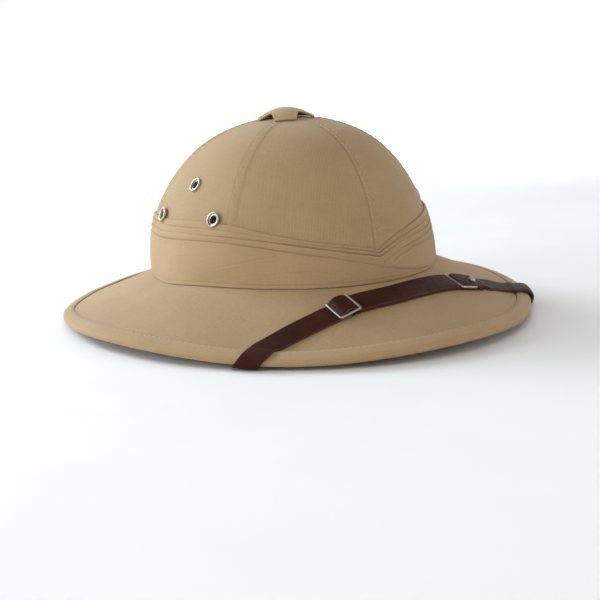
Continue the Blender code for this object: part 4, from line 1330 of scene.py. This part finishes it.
def ventilator_cap(cloth):
    """The cap: a cross of hemmed cloth with four arms that slope down to the crown. It stands clear of
    the crown in front and droops onto it behind."""
    half, steps = CAP_MIDDLE_ROWS, CAP_ARM_ROWS
    bpy.ops.mesh.primitive_grid_add(x_subdivisions=2 * (half + steps), y_subdivisions=2 * (half + steps))
    item = made("cloth_ventilator_cap", cloth)
    places = get_points(item) * (half + steps)
    delete_where(item, np.minimum(np.abs(places[:, 0]), np.abs(places[:, 1])) > half + 0.01)
    places = get_points(item) * (half + steps)
    along_x = np.abs(places[:, 0]) >= np.abs(places[:, 1])
    run = np.where(along_x, places[:, 0], places[:, 1])
    side = np.where(along_x, places[:, 1], places[:, 0])
    reach = np.maximum(np.abs(run) - half, 0.0) / steps
    half_top, half_foot = 0.5 * CAP_TAB_WIDTH, 0.5 * CAP_FOOT_WIDTH
    width = half_top + (half_foot - half_top) * reach
    left, right, front, back = CAP_REACHES
    full = np.where(along_x, np.where(run < 0.0, left, right), np.where(run < 0.0, front, back))
    length = half_top * np.minimum(np.abs(run) / half, 1.0) + (full - half_top) * reach
    hem = smooth((width * (np.abs(side) / half - 1.0) + CAP_HEM) / CAP_HEM_EDGE)
    hem = hem * smooth(reach / CAP_HEM_START)
    hem = np.maximum(hem, smooth((length - full + CAP_HEM) / CAP_HEM_EDGE))
    length = np.copysign(length, run)
    side = side * width / half
    flat = np.where(along_x[:, None], np.stack([length, side], 1), np.stack([side, length], 1))
    x, y = flat.T
    frontness = smooth(y * y / np.maximum(x * x + y * y, MM * MM))
    full = (1.0 - frontness) * np.where(x < 0.0, left, right) + frontness * np.where(y < 0.0, front, back)
    share = np.minimum(np.hypot(x, y) / full, 1.0)
    droop = smooth(y / CAP_DROOP_BACK) * smooth(np.abs(x) / CAP_DROOP_SIDE)
    angle = math.radians(CAP_TURN)
    cos, sin = math.cos(angle), math.sin(angle)
    flat = (flat + np.array(CAP_PLACE)) @ np.array(((cos, sin), (-sin, cos)))
    apex = crown_point(0.0, CROWN_HEIGHT)
    height = cap_height(flat, apex, CAP_RISE * (1.0 - share**CAP_POWER) * (1.0 - droop)) + CAP_HEM_RISE * hem
    set_points(item, stacked(apex[0] + flat[:, 0], apex[1] + flat[:, 1], height))
    face_outwards(item)
    finish_with(item, "SOLIDIFY", thickness=CAP_WALL, offset=1.0)
    soft_edge(item, CAP_EDGE_ROUND, 2, 50.0)
    dress(item, "ventilator_cap", 45.0)
    return item


# The metal pieces


def eyelet_profile(lift):
    """Half the eyelet's section: a fine inner lip, a rolled ring outside, a barrel and a turned ring
    inside the crown, then the bore."""
    ring_radius, hole, tenth = EYELET_RADIUS, EYELET_HOLE_RADIUS, 0.1 * MM
    barrel, step = hole + EYELET_BARREL_WALL, hole + EYELET_STEP
    bore, neck = hole - 2.2 * tenth, EYELET_NECK * hole
    middle, half = 0.5 * (ring_radius + step), 0.5 * (ring_radius - step)
    inside, back, foot = -CROWN_WALL - EYELET_SLACK, 0.5 * (ring_radius + barrel), lift + 1.5 * tenth
    profile = [(hole - 2.0 * tenth, lift + 0.8 * tenth), (hole - 1.2 * tenth, lift + 2.2 * tenth)]
    profile += [(hole, lift + 2.0 * tenth), (hole + 0.6 * tenth, lift + 0.2 * tenth)]
    for roll in np.linspace(0.0, math.pi, 11):
        dome = (EYELET_DOME - 1.5 * tenth) * max(math.sin(roll), 0.0) ** 0.8
        profile.append((middle - half * math.cos(roll), foot + dome))
    profile += [(ring_radius, lift - 1.2 * tenth), (ring_radius - 1.5 * tenth, lift - 2.0 * tenth)]
    profile += [(barrel, lift - 2.0 * tenth), (barrel, inside), (back, inside), (back, inside - 4.5 * tenth)]
    profile += [(neck + tenth, inside - 5.0 * tenth), (neck, inside), (bore, lift - 10.0 * tenth)]
    return profile + [(bore, lift - 1.5 * tenth)]


def eyelets(nickel, dull):
    """Six rolled eyelets, turned once for each lift and copied to their places. Their bores are dull."""
    patterns = {}
    for name, _, _, matrix, lift in eyelet_places():
        if lift not in patterns:
            pattern = turned("eyelet_pattern", eyelet_profile(lift), 48, nickel)
            pattern.data.materials.append(dull)
            for face in pattern.data.polygons:
                in_bore = face.center.xy.length < EYELET_HOLE_RADIUS - 0.1 * MM and face.center.z < lift
                face.material_index = int(in_bore)
            patterns[lift] = pattern
        item = placed_copy(patterns[lift], name + "_rolled", matrix)
        dress(item, name, 50.0)
    for pattern in patterns.values():
        bpy.data.objects.remove(pattern)


def eyelet_holes():
    """Six round cutters in one object, through the crown's wall and the pugaree."""
    radius = EYELET_HOLE_RADIUS + EYELET_BARREL_WALL + 0.1 * MM
    cutters = []
    for _, _, _, matrix, _ in eyelet_places():
        bpy.ops.mesh.primitive_cylinder_add(vertices=32, radius=radius, depth=6.0 * CROWN_WALL)
        cutter = made("hole_cutter")
        cutter.data.transform(matrix)
        cutters.append(cutter)
    select_only(*cutters)
    bpy.ops.object.join()
    return cutters[0]


def wire_frame(name, node, route, place, lifts, nickel, bar=False):
    """A closed frame of round wire with rounded corners, drawn from a torus."""
    half_length, half_width = 0.5 * FRAME_LENGTH - BAR_RADIUS, 0.5 * FRAME_WIDTH - BAR_RADIUS
    corner, straight = 7, 6
    line = []
    for quarter, (end, side) in enumerate(((1, 1), (-1, 1), (-1, -1), (1, -1))):
        centre = ((half_length - FRAME_CORNER) * end, (half_width - FRAME_CORNER) * side)
        for index in range(corner):
            turn = 0.5 * math.pi * (quarter + index / (corner - 1.0))
            spot = (centre[0] + FRAME_CORNER * math.cos(turn), centre[1] + FRAME_CORNER * math.sin(turn))
            line.append(spot)
    spaced = []
    for index, spot in enumerate(line):
        spaced.append(spot)
        following = line[(index + 1) % len(line)]
        if math.dist(spot, following) > 2.0 * MM:
            for part in range(1, straight):
                spaced.append([a + (b - a) * part / straight for a, b in zip(spot, following)])
    flat = np.array(spaced)
    along, across, away = route.axes(np.array(place))
    middle = route.point(np.array(place), 0.0)
    lift = lifts[0] + (lifts[1] - lifts[0]) * (flat[:, 0] / half_length + 1.0) * 0.5
    centres = middle + flat[:, :1] * along + flat[:, 1:] * across + lift[:, None] * away
    forward = unit(np.roll(centres, -1, axis=0) - np.roll(centres, 1, axis=0))
    outside = unit(np.cross(forward, away))
    upward = np.cross(outside, forward)
    sides = 14
    roll = 2.0 * math.pi * np.arange(sides) / sides
    circle = outside[:, None] * np.cos(roll)[None, :, None] + upward[:, None] * np.sin(roll)[None, :, None]
    bpy.ops.mesh.primitive_torus_add(
        major_segments=len(centres), minor_segments=sides, major_radius=0.1, minor_radius=0.02
    )
    item = made(name, nickel)
    set_points(item, (centres[:, None] + BAR_RADIUS * circle).reshape(-1, 3))
    if bar:
        bpy.ops.mesh.primitive_cylinder_add(
            vertices=16, radius=SLIDER_BAR_RADIUS, depth=FRAME_WIDTH - 2.0 * BAR_RADIUS
        )
        rod = made("slider_rod", nickel)
        matrix = Matrix((along, away, across)).transposed().to_4x4()
        matrix.translation = middle + away * 0.5 * (lifts[0] + lifts[1])
        rod.data.transform(matrix)
        finish_with(item, "BOOLEAN", object=rod, operation="UNION", solver="EXACT")
        bpy.data.objects.remove(rod)
    face_outwards(item)
    dress(item, node, 50.0)


def strap_frame(route, distance, lift):
    """A matrix on a strap's outer face at a distance, with z away from it."""
    distance = np.array(distance)
    places = (distance - MM, distance, distance + MM)
    behind, here, ahead = [route.point(place, lift(place)) for place in places]
    along = unit(ahead - behind)
    _, across, outward = route.axes(distance)
    away = unit(np.cross(along, across))
    if away @ outward < 0.0:
        away = -away
    matrix = Matrix((along, np.cross(away, along), away)).transposed().to_4x4()
    matrix.translation = here + away * (0.5 * STRAP_THICKNESS + FITTING_SEAT)
    return matrix


def strap_stud(route, nickel):
    """The domed stud on the short strap, with a small washer's edge."""
    profile = []
    for index in range(9):
        roll = 0.5 * math.pi * index / 8.0
        profile.append((STUD_RADIUS * 0.92 * math.sin(roll), STUD_HEIGHT * math.cos(roll) + FITTING_SINK))
    profile += [(STUD_RADIUS, 0.08 * MM), (STUD_RADIUS, -FITTING_SINK), (0.0, -FITTING_SINK)]
    pattern = turned("stud_pattern", profile, 40, nickel)
    item = placed_copy(pattern, "domed_stud", strap_frame(route, STUD_PLACE, lift_over_keeper))
    bpy.data.objects.remove(pattern)
    dress(item, "strap_stud", 50.0)


def strap_anchors(route, nickel):
    """Two plain rivet heads that hold the strap's ends under the brim."""
    radius, height = ANCHOR_RADIUS, ANCHOR_HEIGHT
    profile = [(0.0, height), (radius * 0.72, height), (radius * 0.9, height * 0.85), (radius, height * 0.5)]
    profile += [(radius, -FITTING_SINK), (0.0, -FITTING_SINK)]
    pattern = turned("rivet_pattern", profile, 40, nickel)
    for side, distance in (("right", route.start + ANCHOR_INSET), ("left", route.end - ANCHOR_INSET)):
        item = placed_copy(pattern, f"rivet_{side}", strap_frame(route, distance, flat_lift))
        dress(item, f"strap_anchor_{side}", 50.0)
    bpy.data.objects.remove(pattern)


# The leather


def strap(route, node, start, end, lift, width, rounded, leather, edge):
    """A strap along the route: a strip of cross lines, given its thickness and soft edges."""
    count = int(round((end - start) / STRAP_STEP))
    stops = np.linspace(start, end, count + 1)
    bpy.ops.mesh.primitive_grid_add(x_subdivisions=count, y_subdivisions=STRAP_ACROSS)
    item = made(node + "_leather", leather, edge)
    flat = get_points(item)
    column = np.rint((flat[:, 0] + 1.0) * 0.5 * count).astype(int)
    side = flat[:, 1]
    distance = stops[column]
    tip = np.zeros_like(distance)
    drawn_back = STRAP_TIP * (1.0 - np.sqrt(1.0 - TIP_ROUND * side**4))
    if "start" in rounded:
        tip = tip + smooth(1.0 - (distance - start) / STRAP_TIP) * drawn_back
    if "end" in rounded:
        tip = tip - smooth(1.0 - (end - distance) / STRAP_TIP) * drawn_back
    distance = distance + tip
    half = 0.5 * width(distance)
    rise = lift(distance) + STRAP_CROWN * (1.0 - side**2)
    set_points(item, route.laid_point(distance, side * half, rise))
    vertices, _ = corner_vertices(item)
    set_weave(item, (side * half)[vertices], distance[vertices])
    face_outwards(item)
    finish_with(item, "SOLIDIFY", thickness=STRAP_THICKNESS, offset=0.0, material_offset_rim=1)
    soft_edge(item, STRAP_EDGE_ROUND, 3, 55.0, material=0)
    dress(item, node, 40.0)


# Materials


def linear(code):
    """A colour in linear values, from its sRGB hex code."""
    parts = [int(code[place : place + 2], 16) / 255.0 for place in (1, 3, 5)]
    return (*[part / 12.92 if part <= 0.04045 else ((part + 0.055) / 1.055) ** 2.4 for part in parts], 1.0)


def add_node(tree, kind, output, settings=(), links=()):
    """Adds a node with its settings, by property name or input, and the links that come in, and gives
    the output that is asked for."""
    node = tree.nodes.new("ShaderNode" + kind)
    for name, value in dict(settings).items():
        if isinstance(name, str) and hasattr(node, name) and name not in node.inputs:
            setattr(node, name, value)
        else:
            node.inputs[name].default_value = value
    for name, source in dict(links).items():
        tree.links.new(source, node.inputs[name])
    return node.outputs[output]


def new_material(name, color, roughness, **sockets):
    """A material with its shader's even values set on its own sockets."""
    material = bpy.data.materials.new(name)
    material.use_nodes = True
    shader = material.node_tree.nodes["Principled BSDF"]
    shader.inputs["Base Color"].default_value = linear(color)
    shader.inputs["Roughness"].default_value = roughness
    for socket, value in sockets.items():
        shader.inputs[socket.replace("_", " ").title().replace("Ior", "IOR")].default_value = value
    return material, material.node_tree, shader


def cotton(name, cloth, relief, on_object, turn=0.0):
    """Woven cotton cloth, dyed khaki: uneven yarns that cross at right angles, a faint diagonal of a
    drill and a dusty soft sheen, which keep it matt from every side. The real yarns are under half a
    millimetre apart, and are drawn coarser so that they show. Patterns are in millimetres. Painted
    shade darkens the colour by up to a half where the piece's painted_shade attribute is 1."""
    color, groove, pitch = cloth
    dust = {"sheen_weight": 0.2, "sheen_roughness": 0.5, "sheen_tint": linear("#F2EEE6")}
    material, tree, shader = new_material(name, color, 0.88, specular_ior_level=0.2, **dust)
    if on_object:
        start, per_mm = add_node(tree, "TexCoord", "Object"), 1.0 / MM
    else:
        start, per_mm = add_node(tree, "UVMap", "UV", {"uv_map": "weave"}), 0.1 / MM
    mapped = {"Scale": (per_mm, per_mm, per_mm), "Rotation": (0.0, 0.0, turn)}
    threads = add_node(tree, "Mapping", "Vector", mapped, {"Vector": start})
    crossed = []
    yarns = {"Scale": math.pi / (10.0 * pitch), "Distortion": 1.1, "Detail": 2.0}
    for direction, stretch in (("X", (1.2, 0.09, 1.0)), ("Y", (0.09, 1.2, 1.0))):
        yarn = add_node(tree, "TexWave", "Fac", {"bands_direction": direction, **yarns}, {"Vector": threads})
        space = add_node(tree, "Mapping", "Vector", {"Scale": stretch}, {"Vector": threads})
        slub = add_node(tree, "TexNoise", "Fac", {"Scale": 1.1, "Detail": 3.0}, {"Vector": space})
        crossed.append(add_node(tree, "Math", 0, {"operation": "MULTIPLY"}, {0: yarn, 1: slub}))
    crossed = add_node(tree, "Math", 0, {"operation": "ADD"}, dict(enumerate(crossed)))
    slant = {"Rotation": (0.0, 0.0, math.radians(52.0))}
    diagonal = add_node(tree, "Mapping", "Vector", slant, {"Vector": threads})
    twill = {"bands_direction": "X", "Scale": math.pi / (14.0 * pitch), "Distortion": 2.5, "Detail": 2.0}
    drill = add_node(tree, "TexWave", "Fac", {**twill, "Detail Scale": 0.8}, {"Vector": diagonal})
    fuzz = add_node(tree, "TexNoise", "Fac", {"Scale": 1.3, "Detail": 4.0}, {"Vector": threads})
    broad = add_node(tree, "TexNoise", "Fac", {"Scale": 0.035, "Detail": 3.0}, {"Vector": threads})
    weave = add_node(tree, "Math", 0, {"operation": "MULTIPLY_ADD", 1: 0.22}, {0: drill, 2: crossed})
    body = add_node(tree, "Math", 0, {"operation": "MULTIPLY_ADD", 1: 0.6}, {0: fuzz, 2: weave})
    dip = add_node(tree, "MapRange", "Result", {"From Min": 0.6, "From Max": 1.15}, {"Value": body})
    dyes = {"data_type": "RGBA", 6: linear(groove), 7: linear(color)}
    dyed = add_node(tree, "Mix", 2, dyes, {0: dip})
    spread = {"From Min": 0.3, "From Max": 0.7, "To Min": 0.95, "To Max": 1.05}
    patch = add_node(tree, "MapRange", "Result", spread, {"Value": broad})
    # Painted shade: the piece's painted_shade attribute darkens the colour by up to a half, along seams,
    # under pleats and at the binding's edges
    painted_shade = add_node(tree, "Attribute", "Fac", {"attribute_name": "painted_shade"})
    shade = add_node(tree, "Math", 0, {"operation": "MULTIPLY_ADD", 1: -0.5, 2: 1.0}, {0: painted_shade})
    value = add_node(tree, "Math", 0, {"operation": "MULTIPLY"}, {0: patch, 1: shade})
    tone_and_painted_shade = add_node(tree, "HueSaturation", "Color", {}, {"Color": dyed, "Value": value})
    tree.links.new(tone_and_painted_shade, shader.inputs["Base Color"])
    bump = add_node(tree, "Bump", "Normal", {"Strength": relief, "Distance": 0.12 * MM}, {"Height": body})
    tree.links.new(bump, shader.inputs["Normal"])
    return material


def sewing_thread():
    """Spun cotton thread: two plies twisted together, which give it a soft rope-like edge."""
    material, tree, shader = new_material("spun_cotton_thread", "#BDA57E", 0.8, sheen_weight=0.2)
    place = add_node(tree, "TexCoord", "Object")
    twist = {"bands_direction": "DIAGONAL", "Scale": 340.0, "Distortion": 0.4}
    plies = add_node(tree, "TexWave", "Fac", twist, {"Vector": place})
    bump = add_node(tree, "Bump", "Normal", {"Strength": 0.5, "Distance": 0.08 * MM}, {"Height": plies})
    tree.links.new(bump, shader.inputs["Normal"])
    return material


def dyed_leather():
    """Chrome tanned cowhide, dyed dark brown and finished: fine pebbled grain under a thin even
    finish, which gives broad soft highlights."""
    material, tree, shader = new_material("finished_cowhide", "#371B15", 0.55, specular_ior_level=0.09)
    place = add_node(tree, "TexCoord", "Object")
    pebbles = {"Scale": 1300.0, "feature": "SMOOTH_F1"}
    grain = add_node(tree, "TexVoronoi", "Distance", pebbles, {"Vector": place})
    folds = add_node(tree, "TexNoise", "Fac", {"Scale": 260.0, "Detail": 5.0}, {"Vector": place})
    hide = add_node(tree, "TexNoise", "Fac", {"Scale": 38.0, "Detail": 4.0}, {"Vector": place})
    body = add_node(tree, "Math", 0, {"operation": "MULTIPLY_ADD", 1: 0.6}, {0: grain, 2: folds})
    tone = add_node(tree, "MapRange", "Result", {"From Min": 0.3, "From Max": 0.7}, {"Value": hide})
    dyes = {"data_type": "RGBA", 6: linear("#311510"), 7: linear("#412116")}
    tree.links.new(add_node(tree, "Mix", 2, dyes, {0: tone}), shader.inputs["Base Color"])
    spread = {"From Min": 0.3, "From Max": 0.7, "To Min": 0.48, "To Max": 0.64}
    gloss = add_node(tree, "MapRange", "Result", spread, {"Value": folds})
    tree.links.new(gloss, shader.inputs["Roughness"])
    bump = add_node(tree, "Bump", "Normal", {"Strength": 0.35, "Distance": 0.1 * MM}, {"Height": body})
    tree.links.new(bump, shader.inputs["Normal"])
    return material


def cut_leather():
    """The cut edge of the hide: undyed fibres, reddish and rougher than its face."""
    material, tree, shader = new_material("cut_hide_edge", "#5A322B", 0.75)
    place = add_node(tree, "TexCoord", "Object")
    fibres = add_node(tree, "TexNoise", "Fac", {"Scale": 900.0, "Detail": 4.0}, {"Vector": place})
    dyes = {"data_type": "RGBA", 6: linear("#3A1E19"), 7: linear("#63392F")}
    tree.links.new(add_node(tree, "Mix", 2, dyes, {0: fibres}), shader.inputs["Base Color"])
    bump = add_node(tree, "Bump", "Normal", {"Strength": 0.4, "Distance": 0.1 * MM}, {"Height": fibres})
    tree.links.new(bump, shader.inputs["Normal"])
    return material


def nickel_plate():
    """Nickel plated steel, tumbled bright: a warm pale metal with soft reflections and faint marks."""
    material, tree, shader = new_material("nickel_plated_steel", "#BAB0A5", 0.34, metallic=1.0)
    place = add_node(tree, "TexCoord", "Object")
    marks = add_node(tree, "TexNoise", "Fac", {"Scale": 520.0, "Detail": 5.0}, {"Vector": place})
    spread = {"From Min": 0.3, "From Max": 0.7, "To Min": 0.26, "To Max": 0.42}
    gloss = add_node(tree, "MapRange", "Result", spread, {"Value": marks})
    tree.links.new(gloss, shader.inputs["Roughness"])
    bump = add_node(tree, "Bump", "Normal", {"Strength": 0.08, "Distance": 0.05 * MM}, {"Height": marks})
    tree.links.new(bump, shader.inputs["Normal"])
    return material


def worn_nickel():
    """The eyelets' bores, where the plating is thin and dull: a grey metal with blurred light."""
    material, tree, shader = new_material("thin_dull_plating", "#8F887E", 0.7, metallic=1.0)
    place = add_node(tree, "TexCoord", "Object")
    stains = add_node(tree, "TexNoise", "Fac", {"Scale": 600.0, "Detail": 4.0}, {"Vector": place})
    tones = {"data_type": "RGBA", 6: linear("#7A736A"), 7: linear("#A1998E")}
    tree.links.new(add_node(tree, "Mix", 2, tones, {0: stains}), shader.inputs["Base Color"])
    return material


def paper_floor():
    """White background paper: matt and nearly even."""
    material, tree, shader = new_material("white_background_paper", "#F4F3F1", 0.9)
    place = add_node(tree, "TexCoord", "Object")
    fibres = add_node(tree, "TexNoise", "Fac", {"Scale": 14.0, "Detail": 3.0}, {"Vector": place})
    tones = {"data_type": "RGBA", 6: linear("#F1F0EE"), 7: linear("#F7F6F5")}
    tree.links.new(add_node(tree, "Mix", 2, tones, {0: fibres}), shader.inputs["Base Color"])
    return material


# Stage, lights and camera


def camera_axes():
    """Directions to the camera's right, up and back."""
    turn, rise, roll = (math.radians(value) for value in (CAMERA_TURN, CAMERA_RISE, CAMERA_ROLL))
    back = Vector((math.sin(turn) * math.cos(rise), -math.cos(turn) * math.cos(rise), math.sin(rise)))
    level = Vector((math.cos(turn), math.sin(turn), 0.0))
    upright = back.cross(level)
    right = math.cos(roll) * level + math.sin(roll) * upright
    return right, math.cos(roll) * upright - math.sin(roll) * level, back


def add_camera():
    right, up, back = camera_axes()
    bpy.ops.object.camera_add()
    camera = bpy.context.object
    facing = Matrix((right, up, back)).transposed().to_4x4()
    camera.matrix_world = Matrix.Translation(back * CAMERA_DISTANCE) @ facing
    camera.data.sensor_width = 36.0
    camera.data.lens = CAMERA_LENS
    camera.data.shift_x, camera.data.shift_y = CAMERA_SHIFT
    bpy.context.scene.camera = camera


def add_light(name, right, up, toward, size, power, color, aim):
    """A soft square light, placed from the hat by the camera's right, the world's up and towards it,
    and aimed at a distance towards the camera and a height."""
    turn = math.radians(CAMERA_TURN)
    level = Vector((math.cos(turn), math.sin(turn), 0.0))
    ahead = Vector((math.sin(turn), -math.cos(turn), 0.0))
    place = level * right + ahead * toward + Vector((0.0, 0.0, up))
    bpy.ops.object.light_add(type="AREA", location=place)
    light = bpy.context.object
    light.name = name
    light.data.shape = "SQUARE"
    light.data.size = size
    light.data.energy = power
    light.data.color = color
    light.visible_camera = False
    goal = ahead * aim[0] + Vector((0.0, 0.0, aim[1]))
    light.rotation_euler = (goal - place).to_track_quat("-Z", "Y").to_euler()


def add_stage(paper):
    """A round floor of paper whose far edge curves up on all sides, and the studio's soft light."""
    profile = [(0.0, 0.0)]
    for index in range(17):
        roll = 0.5 * math.pi * index / 16.0
        profile.append((FLOOR_RADIUS + COVE_RADIUS * math.sin(roll), COVE_RADIUS * (1.0 - math.cos(roll))))
    profile.append((FLOOR_RADIUS + COVE_RADIUS, WALL_HEIGHT))
    bpy.ops.mesh.primitive_circle_add(vertices=len(profile), radius=1.0)
    floor = made("paper_floor", paper)
    set_points(floor, [(radius, 0.0, height) for radius, height in profile])
    builder = bmesh.new()
    builder.from_mesh(floor.data)
    builder.edges.ensure_lookup_table()
    ends = {0, len(profile) - 1}
    closing = [edge for edge in builder.edges if {vertex.index for vertex in edge.verts} == ends]
    bmesh.ops.delete(builder, geom=closing, context="EDGES_FACES")
    builder.to_mesh(floor.data)
    builder.free()
    spin_round(floor, 96, 0.0001, facing_in=True)
    smooth_by_angle(floor, 40.0)
    floor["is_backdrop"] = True
    world = bpy.data.worlds.new("studio")
    bpy.context.scene.world = world
    world.use_nodes = True
    world.node_tree.nodes["Background"].inputs["Color"].default_value = linear("#FFFFFF")
    world.node_tree.nodes["Background"].inputs["Strength"].default_value = WORLD_LIGHT
    for row in LIGHTS:
        add_light(*row)


bpy.ops.object.select_all(action="DESELECT")
bpy.context.scene.view_settings.view_transform = "Standard"

add_camera()
add_stage(paper_floor())

crown_cloth = cotton("cotton_drill_on_crown", DRILL, 0.6, False)
brim_cloth = cotton("cotton_drill_on_brim", DRILL, 0.5, True)
band_cloth = cotton("cotton_poplin_band", POPLIN, 0.35, False)
cap_cloth = cotton("cotton_poplin_cap", POPLIN, 0.3, True, math.radians(-CAP_TURN))
thread = sewing_thread()
leather = dyed_leather()
edge = cut_leather()
nickel = nickel_plate()

hole_cutters = eyelet_holes()
crown(crown_cloth, hole_cutters)
crown_stitching(thread)
brim(brim_cloth)
brim_binding(band_cloth)
brim_stitching(thread)
band = pugaree(band_cloth, hole_cutters)
cap = ventilator_cap(cap_cloth)
bpy.data.objects.remove(hole_cutters)
eyelets(nickel, worn_nickel())

route = StrapRoute()
straps = (
    # node, start, end, height over the brim, width, rounded ends
    ("strap_long", route.start, TAIL_END_PLACE, lift_over_slider, pinched_width, ("start",)),
    ("strap_link", SLIDER_PLACE + 2.0 * MM, LINK_END_PLACE, flat_lift, full_width, ()),
    ("strap_short", TIP_PLACE, route.end, lift_over_keeper, full_width, ("start", "end")),
)
for row in straps:
    strap(route, *row, leather, edge)
wire_frame("slider_wire", "slider_buckle", route, SLIDER_PLACE, (bar_lift(1), bar_lift(2)), nickel, True)
wire_frame("keeper_wire", "keeper_frame", route, KEEPER_PLACE, (bar_lift(1), bar_lift(1)), nickel)
strap_stud(route, nickel)
strap_anchors(route, nickel)

boxes = {"cad": cad_box, "visual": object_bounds()}
plain = {name: [[float(value) for value in corner] for corner in box] for name, box in boxes.items()}
